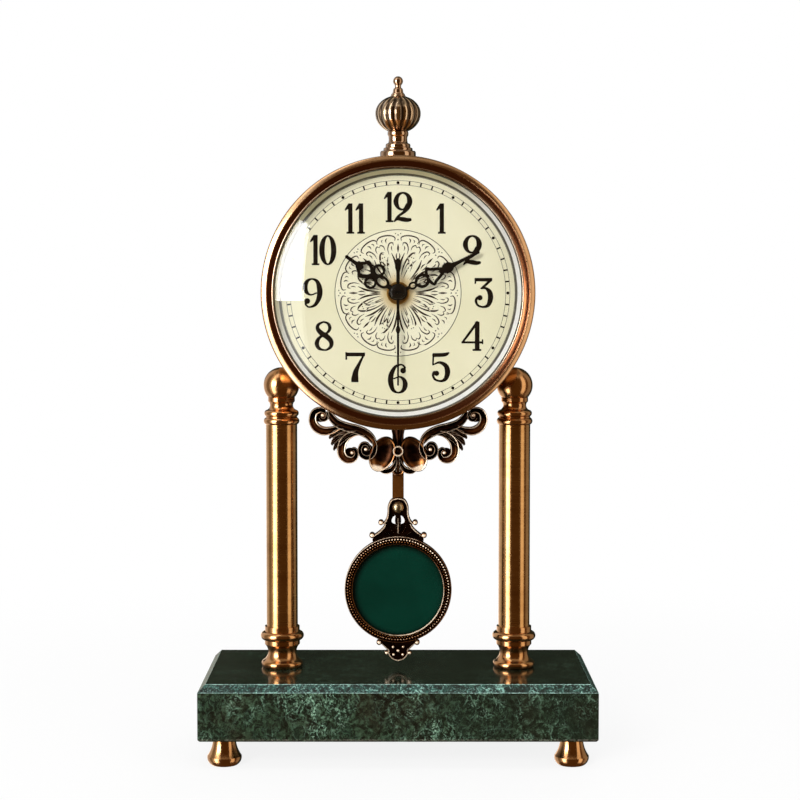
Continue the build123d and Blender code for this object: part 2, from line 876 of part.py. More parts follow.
# Domed glass with a flat rim
with BuildPart() as glass:
    dome_reach = lip_radius_inner - glass_clearance
    with BuildSketch(dial_section()):
        with BuildLine():
            Polyline(
                (dome_reach - glass_thickness / 2, glass_back),
                (glass_radius, glass_back),
                (glass_radius, glass_front),
                (dome_reach, glass_front),
            )
            dome_line(dome_reach, glass_front, glass_front - glass_rise)
            Line((0, glass_front - glass_rise), (0, glass_back - glass_rise))
            dome_line(dome_reach - glass_thickness / 2, glass_back, glass_back - glass_rise)
        make_face()
    revolve(axis=dial_axis())
save(glass, "glass")

# Angled ring between the glass and the dial
with BuildPart() as dial_ring:
    ring_outer = ring_pocket - dial_clearance
    with BuildSketch(dial_section()):
        with BuildLine():
            Polyline(
                (dial_opening, dial_front),
                (ring_outer, dial_front),
                (ring_outer, glass_back),
                (dial_ring_front, glass_back),
                close=True,
            )
        make_face()
    revolve(axis=dial_axis())
save(dial_ring, "dial_ring")

with BuildPart() as dial:
    drum(case_inner - dial_clearance, dial_front, dial_back)
    drum(bushing_diameter / 2 + dial_bore_clearance, dial_front, dial_back, Mode.SUBTRACT)
save(dial, "dial_plate")

with BuildPart() as dial_nut:
    drum(dial_nut_diameter / 2, dial_front - dial_nut_height, dial_front)
    chamfer(dial_nut.faces().sort_by(Axis.Y)[0].edges(), length=dial_nut_chamfer)
    drum(bushing_diameter / 2, dial_front - dial_nut_height, dial_front, Mode.SUBTRACT)
save(dial_nut, "dial_nut")

# Finial: stepped collar on the drum, fluted melon and pointed tip, held by one screw
collar_top = case_top + (finial_foot_height + finial_step_height + finial_collar_height
                         + finial_neck_height + finial_bead_height)
melon_top = collar_top + melon_height
melon_middle = collar_top + melon_height / 2
tip_neck_z = melon_top + tip_cone_height
tip_ball_z = tip_neck_z + sqrt((tip_ball_diameter / 2) ** 2 - (tip_neck_diameter / 2) ** 2)
finial_bore = finial_screw_diameter / 2

with BuildPart() as collar:
    foot_top = case_top + finial_foot_height
    step_top = foot_top + finial_step_height
    ring_top = step_top + finial_collar_height
    neck_top = ring_top + finial_neck_height
    with BuildSketch(facing(0)):
        with BuildLine():
            Polyline(
                (finial_bore, case_top - finial_foot_height),
                (finial_foot_diameter / 2, case_top - finial_foot_height),
                (finial_foot_diameter / 2, foot_top),
                (finial_step_diameter / 2, foot_top),
                (finial_step_diameter / 2, step_top),
                (finial_collar_diameter / 2, step_top),
                (finial_collar_diameter / 2, ring_top),
                (finial_neck_diameter / 2, ring_top),
                (finial_neck_diameter / 2, neck_top),
            )
            ThreePointArc(
                (finial_neck_diameter / 2, neck_top),
                (finial_bead_diameter / 2, neck_top + finial_bead_height / 2),
                (finial_neck_diameter / 2, collar_top),
            )
            Polyline(
                (finial_neck_diameter / 2, collar_top),
                (finial_bore, collar_top),
                (finial_bore, case_top - finial_foot_height),
            )
        make_face()
    revolve(axis=upright_axis())
    drum(case_radius, -finial_foot_diameter, finial_foot_diameter, Mode.SUBTRACT)
save(collar, "finial_collar")

with BuildPart() as melon:
    seat_radius = melon_seat_diameter / 2
    belly = melon_diameter / 2
    half_height = melon_height / 2
    arc_radius = (half_height**2 + (belly - seat_radius) ** 2) / (2 * (belly - seat_radius))
    arc_centre = belly - arc_radius
    with BuildSketch(facing(0)):
        with BuildLine():
            Line((finial_bore, collar_top), (seat_radius, collar_top))
            ThreePointArc((seat_radius, collar_top), (belly, melon_middle), (seat_radius, melon_top))
            Polyline((seat_radius, melon_top), (finial_bore, melon_top), (finial_bore, collar_top))
        make_face()
    revolve(axis=upright_axis())
    for number in range(melon_lobes):
        turn = 2 * pi * (number + 0.5) / melon_lobes
        outward = Vector(cos(turn), sin(turn), 0)
        along = Vector(-sin(turn), cos(turn), 0)
        hub = outward * arc_centre + Vector(0, 0, melon_middle)
        with BuildSketch(Plane(origin=hub + Vector(0, 0, -arc_radius), x_dir=along, z_dir=outward)):
            Circle(melon_flute_radius)
        revolve(axis=Axis(hub, along), revolution_arc=-180, mode=Mode.SUBTRACT)
save(melon, "finial_melon")

with BuildPart() as tip:
    cone = tip_cone_diameter / 2
    tip_neck = tip_neck_diameter / 2
    with BuildSketch(facing(0)):
        with BuildLine():
            Polyline(
                (finial_bore, melon_top),
                (cone, melon_top),
                (cone * 0.8, melon_top + tip_cone_height * 0.35),
                (tip_neck, tip_neck_z),
            )
            ThreePointArc(
                (tip_neck, tip_neck_z),
                (tip_ball_diameter / 2, tip_ball_z),
                (0, tip_ball_z + tip_ball_diameter / 2),
            )
            Polyline(
                (0, tip_ball_z + tip_ball_diameter / 2),
                (0, melon_top + finial_screw_engagement),
                (finial_bore, melon_top + finial_screw_engagement),
                (finial_bore, melon_top),
            )
        make_face()
    revolve(axis=upright_axis())
save(tip, "finial_tip")

with BuildPart() as finial_screw:
    inside_screw(90.0, 0, finial_screw_diameter, finial_screw_head_diameter, finial_screw_head_height,
                 melon_top + finial_screw_engagement - axis_z)
save(finial_screw, "finial_screw")

# Scroll crest: one casting of volutes, scrolls, leaves and petals, screwed to the drum from inside
with BuildPart() as crest:
    with BuildSketch(facing(crest_back_y, 0, axis_z)):
        with Locations(volute_centre):
            Circle(volute_radius)
        with BuildLine(mode=Mode.PRIVATE) as hollow:
            CenterArc(volute_centre, (volute_radius - volute_band + volute_eye_radius) / 2, 150, 250)
        SlotArc(hollow.edge(), volute_radius - volute_band - volute_eye_radius, mode=Mode.SUBTRACT)
        with BuildLine(mode=Mode.PRIVATE) as c_scroll:
            CenterArc(c_scroll_centre, c_scroll_radius, -40, 220)
        SlotArc(c_scroll.edge(), c_scroll_band)
        with Locations(lower_scroll_centre):
            Circle(lower_scroll_radius)
        with Locations(ball_scroll_centre):
            Circle(ball_scroll_radius)
        with BuildLine(mode=Mode.PRIVATE) as lower_arm_line:
            ThreePointArc(*lower_arm)
        SlotArc(lower_arm_line.edge(), arm_band)
        with BuildLine(mode=Mode.PRIVATE) as upper_arm_line:
            ThreePointArc(*upper_arm)
        SlotArc(upper_arm_line.edge(), arm_band)
        with BuildLine(mode=Mode.PRIVATE) as upper_leaf_line:
            ThreePointArc(*upper_leaf)
        SlotArc(upper_leaf_line.edge(), leaf_band)
        with BuildLine(mode=Mode.PRIVATE) as lower_leaf_line:
            ThreePointArc(*lower_leaf)
        SlotArc(lower_leaf_line.edge(), leaf_band)
        with Locations(petal_centre):
            Ellipse(petal_half_width, petal_half_height, rotation=-petal_lean)
        mirror(about=Plane.YZ)
        with Locations((0, drape_drop)):
            Ellipse(drape_half_width, drape_half_height)
        with Locations((0, lip_drop)):
            Circle(lip_radius)
        with Locations((0, tab_drop)):
            Rectangle(tab_width, -tab_drop, align=(Align.CENTER, Align.MIN))
        scale(by=case_diameter / crest_case_diameter)
    extrude(amount=crest_thickness)
    for bearing in crest_bearings:
        with BuildSketch(radial(bearing, crest_screw_y).offset(case_radius - case_wall)):
            Circle(crest_boss_diameter / 2)
        extrude(amount=crest_boss_length + case_wall)
    drum(case_radius, crest_back_y - crest_thickness, crest_back_y, Mode.SUBTRACT)
    for bearing in crest_bearings:
        with BuildSketch(radial(bearing, crest_screw_y).offset(case_inner)):
            Circle(crest_screw_diameter / 2)
        extrude(amount=case_wall + crest_boss_length, mode=Mode.SUBTRACT)
save(crest, "scroll_crest")

with BuildPart() as crest_screws:
    for bearing in crest_bearings:
        inside_screw(bearing, crest_screw_y, crest_screw_diameter, crest_screw_head_diameter,
                     crest_screw_head_height, case_radius + crest_boss_length)
save(crest_screws, "crest_screws")

# Movement housing: an open box with the threaded bushing that the dial nut holds
housing_height = housing_above_axis + housing_below_axis
housing_middle = axis_z + (housing_above_axis - housing_below_axis) / 2


def housing_outline(inset):
    RectangleRounded(housing_width - 2 * inset, housing_height - 2 * inset, housing_corner - inset)


with BuildPart() as housing:
    with BuildSketch(facing(plate_front, 0, housing_middle)):
        housing_outline(0)
    extrude(amount=housing_depth)
    with BuildSketch(facing(plate_front, 0, housing_middle)):
        housing_outline(housing_wall)
    extrude(amount=housing_depth - housing_wall, mode=Mode.SUBTRACT)
    cradle_top = battery_rise - battery_diameter / 2 - battery_clearance
    with BuildSketch(facing(plate_front, 0, axis_z + cradle_top)):
        Rectangle(housing_width - housing_wall, cradle_wall, align=(Align.CENTER, Align.MAX))
    extrude(amount=housing_depth - housing_wall / 2)
    drum(bushing_diameter / 2, bushing_front, wall_back)
    drum(minute_post_diameter / 2, movement_front + housing_wall / 2, layer(2) + pinion_thickness,
         x=minute_wheel_x, rise=minute_wheel_rise)
    drum(hour_pipe_outer + running_clearance, bushing_front, wall_back, Mode.SUBTRACT)
    drum(third_arbor_diameter / 2 + running_clearance, wall_back - pivot_hole_depth, wall_back,
         Mode.SUBTRACT, third_wheel_x, third_wheel_rise)
    drum(knob_shaft_diameter / 2 + running_clearance, wall_back - pivot_hole_depth, wall_back,
         Mode.SUBTRACT, knob_x, knob_rise)
save(housing, "movement_housing")

# Movement back plate: battery opening, wheel posts, bearing holes and the pad of the pendulum's pivot
stator_posts = (
    (coil_shift - coil_length / 2 - stator_leg / 2, -coil_drop + core_height),
    (coil_shift + coil_length / 2 + stator_leg / 2, -coil_drop + core_height),
)
with BuildPart() as back_plate:
    with BuildSketch(facing(plate_back, 0, housing_middle)):
        housing_outline(0)
    extrude(amount=back_plate_thickness)
    with BuildSketch(facing(plate_back, 0, axis_z + battery_rise)):
        Rectangle(housing_width - 2 * housing_wall, battery_diameter + 2 * battery_clearance)
    extrude(amount=back_plate_thickness, mode=Mode.SUBTRACT)
    drum(train_post_diameter / 2, layer(5) - pinion_thickness / 2, plate_back, x=fifth_wheel_x, rise=fifth_wheel_rise)
    drum(rotor_post_diameter / 2, layer(6) - pinion_thickness / 2, plate_back, x=rotor_x, rise=rotor_rise)
    for post_x, post_rise in stator_posts:
        drum(core_thickness, stator_back, plate_back, x=post_x, rise=post_rise)
    drum(pivot_head_diameter / 2, plate_front, plate_back + pivot_pad_height, rise=-pivot_drop)
    drum(pivot_pin_diameter / 2, plate_front, plate_back + pivot_pad_height, Mode.SUBTRACT, rise=-pivot_drop)
    drum(second_arbor + running_clearance, plate_front, plate_back, Mode.SUBTRACT)
    drum(third_arbor_diameter / 2 + running_clearance, plate_front, plate_back, Mode.SUBTRACT,
         third_wheel_x, third_wheel_rise)
    drum(knob_shaft_diameter / 2 + running_clearance, plate_front, plate_back, Mode.SUBTRACT, knob_x, knob_rise)
save(back_plate, "movement_cover")

with BuildPart() as battery:
    with BuildSketch(Plane(origin=(-battery_reach, battery_y, axis_z + battery_rise), z_dir=(1, 0, 0))):
        Circle(battery_diameter / 2)
    extrude(amount=battery_length)
    with BuildSketch(Plane(origin=(-battery_reach, battery_y, axis_z + battery_rise), z_dir=(1, 0, 0))):
        Circle(battery_nub_diameter / 2)
    extrude(amount=battery_length + battery_nub_length)
save(battery, "battery")

with BuildPart() as contacts:
    contact_middle = (housing_width / 2 - housing_wall) - contact_thickness / 2
    with Locations((-contact_middle, battery_y, axis_z + battery_rise),
                   (contact_middle, battery_y, axis_z + battery_rise)):
        Box(contact_thickness, contact_size, contact_size)
save(contacts, "battery_contacts")

# Stepping motor: coil on its core, stator with the rotor hole
with BuildPart() as coil:
    core_y = stator_front - core_thickness / 2
    coil_z = axis_z - coil_drop
    with BuildSketch(Plane(origin=(coil_shift - coil_length / 2, core_y, coil_z), z_dir=(1, 0, 0))):
        Circle(coil_diameter / 2)
    extrude(amount=coil_length)
    with Locations((coil_shift, core_y, coil_z)):
        Box(coil_length + 2 * stator_leg, core_thickness, core_height)
save(coil, "motor_coil")

with BuildPart() as stator:
    left_leg = coil_shift - coil_length / 2 - stator_leg / 2
    right_leg = coil_shift + coil_length / 2 + stator_leg / 2
    leg_bottom = -coil_drop - core_height / 2
    yoke_drop = rotor_rise - stator_leg
    rotor_hole = rotor_magnet_diameter / 2 + stator_air_gap
    with BuildSketch(facing(stator_back, 0, axis_z)):
        with BuildLine():
            Polyline(
                (left_leg - stator_leg / 2, leg_bottom),
                (left_leg + stator_leg / 2, leg_bottom),
                (left_leg + stator_leg / 2, yoke_drop - stator_leg),
                (rotor_x, rotor_rise - rotor_hole - stator_ring_width),
                (rotor_x - rotor_hole - stator_ring_width, rotor_rise),
                (left_leg - stator_leg / 2, yoke_drop),
                close=True,
            )
        make_face()
        with BuildLine():
            Polyline(
                (right_leg - stator_leg / 2, leg_bottom),
                (right_leg + stator_leg / 2, leg_bottom),
                (rotor_x + rotor_hole, rotor_rise - rotor_hole),
                (rotor_x - rotor_hole, rotor_rise - rotor_hole),
                (right_leg - stator_leg / 2, yoke_drop - stator_leg),
                close=True,
            )
        make_face()
        with Locations((rotor_x, rotor_rise)):
            Circle(rotor_hole + stator_ring_width)
            Circle(rotor_hole, mode=Mode.SUBTRACT)
    extrude(amount=stator_thickness)
save(stator, "stator")

with BuildPart() as board:
    board_edge = -housing_width / 2 + housing_wall
    board_bottom = axis_z - housing_below_axis + housing_corner
    with BuildSketch(facing(stator_front, board_edge, board_bottom)):
        Rectangle(board_width, board_height, align=(Align.MIN, Align.MIN))
    extrude(amount=board_thickness)
save(board, "circuit_board")

with BuildPart() as drive_coil:
    coil_rise = -pivot_drop - magnet_drop
    drum(drive_coil_diameter / 2, plate_front - drive_coil_thickness, plate_front, rise=coil_rise)
    drum(drive_coil_bore / 2, plate_front - drive_coil_thickness, plate_front, Mode.SUBTRACT, rise=coil_rise)
save(drive_coil, "drive_coil")

# Motion work and going train
with BuildPart() as rotor:
    magnet_back = stator_back + (rotor_magnet_length - stator_thickness) / 2
    toothed_wheel(rotor_teeth, rotor_module, gap_bearing(rotor_teeth, rotor_bearing + 180), layer(6),
                  pinion_thickness, rotor_x, rotor_rise)
    drum(rotor_module * rotor_teeth / 2 - rotor_module, layer(6), magnet_back, x=rotor_x, rise=rotor_rise)
    drum(rotor_magnet_diameter / 2, magnet_back - rotor_magnet_length, magnet_back, x=rotor_x, rise=rotor_rise)
    drum(rotor_post_diameter / 2 + running_clearance, layer(6) - pinion_thickness, plate_front, Mode.SUBTRACT,
         rotor_x, rotor_rise)
save(rotor, "rotor")

with BuildPart() as fifth_wheel:
    toothed_wheel(fifth_pinion_teeth, train_module, gap_bearing(fifth_pinion_teeth, fifth_wheel_bearing + 180),
                  layer(5), pinion_thickness, fifth_wheel_x, fifth_wheel_rise)
    toothed_wheel(fifth_wheel_teeth, rotor_module, rotor_bearing, layer(6), wheel_thickness,
                  fifth_wheel_x, fifth_wheel_rise)
    drum(train_module * fifth_pinion_teeth / 2 - train_module, layer(5), layer(6), x=fifth_wheel_x,
         rise=fifth_wheel_rise)
    drum(train_post_diameter / 2 + running_clearance, layer(5) - pinion_thickness, plate_front, Mode.SUBTRACT,
         fifth_wheel_x, fifth_wheel_rise)
save(fifth_wheel, "fifth_wheel")

with BuildPart() as second_wheel:
    drum(second_arbor, second_hand_y - hand_thickness - cap_height / 2, plate_back - running_clearance)
    toothed_wheel(second_pinion_teeth, train_module, third_wheel_bearing, layer(4), pinion_thickness)
    toothed_wheel(second_wheel_teeth, train_module, fifth_wheel_bearing, layer(5), wheel_thickness)
save(second_wheel, "second_wheel")

with BuildPart() as third_wheel:
    drum(third_arbor_diameter / 2, wall_back - pivot_hole_depth + running_clearance,
         plate_back - running_clearance, x=third_wheel_x, rise=third_wheel_rise)
    toothed_wheel(third_wheel_teeth, train_module, gap_bearing(third_wheel_teeth, third_wheel_bearing + 180),
                  layer(4), wheel_thickness, third_wheel_x, third_wheel_rise)
    toothed_wheel(third_pinion_teeth, centre_module, third_wheel_bearing + 180, layer(3), pinion_thickness,
                  third_wheel_x, third_wheel_rise)
save(third_wheel, "third_wheel")

with BuildPart() as centre_wheel:
    toothed_wheel(centre_wheel_teeth, centre_module, gap_bearing(centre_wheel_teeth, third_wheel_bearing),
                  layer(3), wheel_thickness)
    drum(clutch_diameter / 2, layer(3) - pinion_thickness, layer(3) + pinion_thickness, Mode.SUBTRACT)
save(centre_wheel, "centre_wheel")

with BuildPart() as cannon:
    drum(minute_pipe_outer, minute_hand_y - hand_thickness - hand_gap / 4, layer(2))
    toothed_wheel(cannon_teeth, motion_module, minute_wheel_bearing, layer(2), pinion_thickness)
    drum(clutch_diameter / 2, layer(2), layer(3) + wheel_thickness / 2)
    drum(minute_pipe_inner, second_hand_y - cap_height, layer(4), Mode.SUBTRACT)
save(cannon, "cannon_pinion")

with BuildPart() as minute_wheel:
    toothed_wheel(minute_pinion_teeth, hour_module, minute_wheel_bearing + 180, layer(1), pinion_thickness,
                  minute_wheel_x, minute_wheel_rise)
    toothed_wheel(minute_wheel_teeth, motion_module, gap_bearing(minute_wheel_teeth, minute_wheel_bearing + 180),
                  layer(2), wheel_thickness, minute_wheel_x, minute_wheel_rise)
    drum(hour_module * minute_pinion_teeth / 2 - hour_module, layer(1), layer(2), x=minute_wheel_x,
         rise=minute_wheel_rise)
    drum(minute_post_diameter / 2 + running_clearance, wall_back, layer(3), Mode.SUBTRACT,
         minute_wheel_x, minute_wheel_rise)
save(minute_wheel, "minute_wheel")

with BuildPart() as hour_wheel:
    drum(hour_pipe_outer, hour_hand_y - hand_thickness - hand_gap / 4, layer(1))
    toothed_wheel(hour_wheel_teeth, hour_module, gap_bearing(hour_wheel_teeth, minute_wheel_bearing), layer(1),
                  wheel_thickness)
    drum(hour_pipe_inner, minute_hand_y, layer(2), Mode.SUBTRACT)
save(hour_wheel, "hour_wheel")

# The knob's pinion meets the minute wheel, with a gap facing it that follows the wheel's own teeth
teeth_between = (knob_bearing - minute_wheel_bearing - 180) / (360.0 / minute_wheel_teeth) - 0.5
wheel_phase = teeth_between - round(teeth_between)
knob_tooth = gap_bearing(knob_teeth, knob_bearing + 180) + wheel_phase * 360.0 / knob_teeth

with BuildPart() as knob:
    drum(knob_shaft_diameter / 2, wall_back - pivot_hole_depth + running_clearance, plate_back + knob_stand,
         x=knob_x, rise=knob_rise)
    toothed_wheel(knob_teeth, motion_module, knob_tooth, layer(2), pinion_thickness, knob_x, knob_rise)
    with BuildSketch(facing(plate_back + knob_stand + knob_height, knob_x, axis_z + knob_rise)):
        Circle(knob_diameter / 2)
        with PolarLocations(knob_diameter / 2, knob_ribs):
            Circle(knob_diameter / knob_ribs / 2, mode=Mode.SUBTRACT)
    extrude(amount=knob_height)
save(knob, "set_knob")


# Hands, drawn pointing up and set on planes turned to their bearings
def hand_plane(y, bearing):
    return facing(y, 0, axis_z, bearing)


with BuildPart() as hour_hand:
    ring_x, ring_rise = hour_ring_place
    with BuildSketch(hand_plane(hour_hand_y, hour_hand_bearing)):
        Circle(hour_hub_diameter / 2)
        with Locations((0, hour_hand_length / 2)):
            Rectangle(hour_bar_width, hour_hand_length)
        with Locations((0, hour_loop_place)):
            Ellipse(*hour_loop)
        with Locations((-ring_x, ring_rise), (ring_x, ring_rise)):
            Circle(hour_ring_radius)
        with Locations((0, hour_head_place)):
            Ellipse(*hour_head)
        with Locations((0, hour_loop_place)):
            Ellipse(*hour_loop_hole, mode=Mode.SUBTRACT)
        with Locations((-ring_x, ring_rise), (ring_x, ring_rise)):
            Circle(hour_ring_hole_radius, mode=Mode.SUBTRACT)
        with Locations((0, hour_head_place)):
            Ellipse(*hour_head_hole, mode=Mode.SUBTRACT)
        Circle(hour_pipe_outer, mode=Mode.SUBTRACT)
    extrude(amount=hand_thickness)
save(hour_hand, "hour_hand")

with BuildPart() as minute_hand:
    with BuildSketch(hand_plane(minute_hand_y, minute_hand_bearing)):
        Circle(minute_hub_diameter / 2)
        with Locations((0, minute_hand_length / 2)):
            Rectangle(minute_bar_width, minute_hand_length)
        with Locations((0, minute_loop_place)):
            Ellipse(*minute_loop)
        with Locations((0, minute_waist_place)):
            Ellipse(*minute_waist)
        with Locations((0, minute_head_place)):
            Ellipse(*minute_head)
        with Locations((0, minute_loop_place)):
            Ellipse(*minute_loop_hole, mode=Mode.SUBTRACT)
        with Locations((0, minute_waist_place)):
            Ellipse(*minute_waist_hole, mode=Mode.SUBTRACT)
        Circle(minute_pipe_outer, mode=Mode.SUBTRACT)
    extrude(amount=hand_thickness)
save(minute_hand, "minute_hand")

with BuildPart() as second_hand:
    with BuildSketch(hand_plane(second_hand_y, second_hand_bearing)):
        Circle(cap_diameter / 2 - hand_gap / 2)
        with Locations((0, second_hand_length / 2)):
            Rectangle(second_hand_width, second_hand_length)
        with Locations((0, -second_tail_length / 2)):
            Rectangle(second_tail_width, second_tail_length)
        Circle(second_arbor, mode=Mode.SUBTRACT)
    extrude(amount=hand_thickness)
save(second_hand, "second_hand")

with BuildPart() as cap:
    cap_back = second_hand_y - hand_thickness
    cap_front = cap_back - cap_height
    with BuildSketch(dial_section()):
        with BuildLine():
            Polyline((second_arbor, cap_back), (cap_diameter / 2, cap_back))
            dome_line(cap_diameter / 2, cap_back, cap_front)
            Polyline(
                (0, cap_front),
                (0, cap_back - cap_height / 2),
                (second_arbor, cap_back - cap_height / 2),
                (second_arbor, cap_back),
            )
        make_face()
    revolve(axis=dial_axis())
save(cap, "hand_cap")

# Pendulum: hanger on its pin, magnet over the drive coil, flat rod and framed bob
hub_front = plate_back + pivot_pad_height + pivot_end_play
hub_back = rod_front + running_clearance
with BuildPart() as pivot_pin:
    head_front = hub_back + pivot_end_play
    drum(pivot_pin_diameter / 2, plate_front, head_front, rise=-pivot_drop)
    drum(pivot_head_diameter / 2, head_front, head_front + pivot_head_height, rise=-pivot_drop)
save(pivot_pin, "pivot_pin")

with BuildPart() as hanger:
    drum(hanger_hub_diameter / 2, hub_front, hub_back, rise=-pivot_drop)
    with BuildSketch(facing(rod_front, 0, pivot_z)):
        Rectangle(hanger_width, hanger_length, align=(Align.CENTER, Align.MAX))
    extrude(amount=hanger_thickness)
    drum(pivot_pin_diameter / 2 + running_clearance, hub_front, hub_back, Mode.SUBTRACT, rise=-pivot_drop)
    drum(rivet_diameter / 2, hanger_front, rod_front, Mode.SUBTRACT, rise=-pivot_drop - rod_rivet_drop)
save(hanger, "pendulum_hanger")

with BuildPart() as magnet:
    drum(magnet_diameter / 2, hanger_front - magnet_thickness, hanger_front, rise=-pivot_drop - magnet_drop)
save(magnet, "drive_magnet")

bob_plate_front = rod_front - bob_plate_thickness
dome_rise = bob_arch_rise
back_rivet_offset = insert_diameter / 2 + (bob_back_diameter - insert_diameter) / 4
with BuildPart() as rod:
    rod_length = bob_drop - rod_top_drop - dome_rise + rod_end
    with BuildSketch(facing(rod_back, 0, pivot_z - rod_top_drop)):
        Rectangle(rod_width, rod_length, align=(Align.CENTER, Align.MAX))
    extrude(amount=rod_thickness)
    drum(rivet_diameter / 2, rod_front, rod_back, Mode.SUBTRACT, rise=-pivot_drop - rod_rivet_drop)
    drum(rivet_diameter / 2, rod_front, rod_back, Mode.SUBTRACT, rise=bob_z + dome_rise - axis_z)
save(rod, "pendulum_rod")

# Bob frame: ring with an arched plate above, a pointed drop below and small beads, one casting
with BuildPart() as bob_frame:
    with BuildSketch(facing(bob_back, 0, bob_z)):
        Circle(bob_diameter / 2)
    extrude(amount=bob_front + bob_back)
    with BuildSketch(facing(rod_front, 0, bob_z)):
        with Locations((0, bob_arch_rise)):
            Circle(bob_arch_width / 2)
        with BuildLine():
            Polyline(
                (-bob_arch_width / 2, bob_arch_rise),
                (-bob_shoulder_width / 2, bob_shoulder_rise),
                (-bob_skirt_width / 2, bob_skirt_rise),
                (0, bob_opening_diameter / 2),
                (bob_skirt_width / 2, bob_skirt_rise),
                (bob_shoulder_width / 2, bob_shoulder_rise),
                (bob_arch_width / 2, bob_arch_rise),
                close=True,
            )
        make_face()
        with BuildLine():
            Polyline(
                (-drop_root_width / 2, drop_root),
                (-drop_width / 2, drop_shoulder),
                (0, drop_tip),
                (drop_width / 2, drop_shoulder),
                (drop_root_width / 2, drop_root),
                (0, -bob_opening_diameter / 2),
                close=True,
            )
        make_face()
        for bead_x, bead_rise in bob_beads:
            with Locations((bead_x, bead_rise), (-bead_x, bead_rise)):
                Circle(bob_bead_diameter / 2)
    extrude(amount=bob_plate_thickness)
    with BuildSketch(facing(bob_back, 0, bob_z)):
        Circle(insert_diameter / 2 + insert_clearance)
    extrude(amount=bob_back - bob_plate_front - insert_thickness / 2, mode=Mode.SUBTRACT)
    with BuildSketch(facing(bob_back, 0, bob_z)):
        Circle(bob_opening_diameter / 2)
    extrude(amount=bob_front + bob_back, mode=Mode.SUBTRACT)
    drum(rivet_diameter / 2, bob_plate_front, rod_front, Mode.SUBTRACT, rise=bob_z + dome_rise - axis_z)
    for side in (-1, 1):
        drum(rivet_diameter / 4, rod_front, bob_back, Mode.SUBTRACT, side * back_rivet_offset, bob_z - axis_z)
save(bob_frame, "bob_frame")

with BuildPart() as insert:
    insert_front = bob_plate_front + insert_thickness / 2
    drum(insert_diameter / 2, insert_front, insert_front + insert_thickness, rise=bob_z - axis_z)
save(insert, "bob_insert")

with BuildPart() as bob_back_plate:
    drum(bob_back_diameter / 2, bob_back, bob_back + bob_back_thickness, rise=bob_z - axis_z)
    for side in (-1, 1):
        drum(rivet_diameter / 4, bob_back, bob_back + bob_back_thickness, Mode.SUBTRACT,
             side * back_rivet_offset, bob_z - axis_z)
save(bob_back_plate, "bob_back_plate")

# Rivets: rod to hanger, domed one through bob plate and rod, two in the bob's back plate
with BuildPart() as rivets:
    hanger_rivet = -pivot_drop - rod_rivet_drop
    drum(rivet_diameter / 2, hanger_front, rod_back, rise=hanger_rivet)
    drum(rivet_head_diameter / 2, hanger_front - rivet_head_height, hanger_front, rise=hanger_rivet)
    drum(rivet_head_diameter / 2, rod_back, rod_back + rivet_head_height, rise=hanger_rivet)
    dome_z = bob_z + dome_rise
    drum(rivet_diameter / 2, bob_plate_front, rod_back, rise=dome_z - axis_z)
    drum(rivet_head_diameter / 2, rod_back, rod_back + rivet_head_height, rise=dome_z - axis_z)
    with BuildSketch(Plane.XY.offset(dome_z)):
        with BuildLine():
            Line((0, bob_plate_front), (dome_rivet_diameter / 2, bob_plate_front))
            dome_line(dome_rivet_diameter / 2, bob_plate_front, bob_plate_front - dome_rivet_height)
            Line((0, bob_plate_front - dome_rivet_height), (0, bob_plate_front))
        make_face()
    revolve(axis=dial_axis(0, dome_z))
    for side in (-1, 1):
        drum(rivet_diameter / 4, rod_front, bob_back + bob_back_thickness, x=side * back_rivet_offset,
             rise=bob_z - axis_z)
        drum(rivet_head_diameter / 4, bob_back + bob_back_thickness,
             bob_back + bob_back_thickness + rivet_head_height, x=side * back_rivet_offset, rise=bob_z - axis_z)
save(rivets, "pendulum_rivets")
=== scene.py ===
from math import cos, pi, radians, sin

import bmesh
import bpy
import numpy as np
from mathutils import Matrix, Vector


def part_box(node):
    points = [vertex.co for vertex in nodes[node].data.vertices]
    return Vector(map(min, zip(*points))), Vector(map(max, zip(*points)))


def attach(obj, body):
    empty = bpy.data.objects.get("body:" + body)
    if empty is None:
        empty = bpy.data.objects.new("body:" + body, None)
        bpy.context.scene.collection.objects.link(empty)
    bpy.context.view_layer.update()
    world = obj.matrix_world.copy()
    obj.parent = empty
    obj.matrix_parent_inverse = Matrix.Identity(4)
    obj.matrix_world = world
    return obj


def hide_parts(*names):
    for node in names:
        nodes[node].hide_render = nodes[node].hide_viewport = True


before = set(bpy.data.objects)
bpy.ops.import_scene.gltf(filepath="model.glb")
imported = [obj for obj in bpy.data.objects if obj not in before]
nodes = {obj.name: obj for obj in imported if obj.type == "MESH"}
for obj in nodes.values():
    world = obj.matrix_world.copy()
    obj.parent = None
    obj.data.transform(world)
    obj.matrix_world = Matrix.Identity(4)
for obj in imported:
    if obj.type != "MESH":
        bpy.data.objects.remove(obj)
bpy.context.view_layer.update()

# The slab is one block of dark green marble, sawn, bevelled and polished. The wide top bevel is only honed,
# and is painted paler than the faces, partly for the honing and partly as painted light where it faces up.
# The columns' tie rods and the feet's studs go into it from below.
MM = 0.001


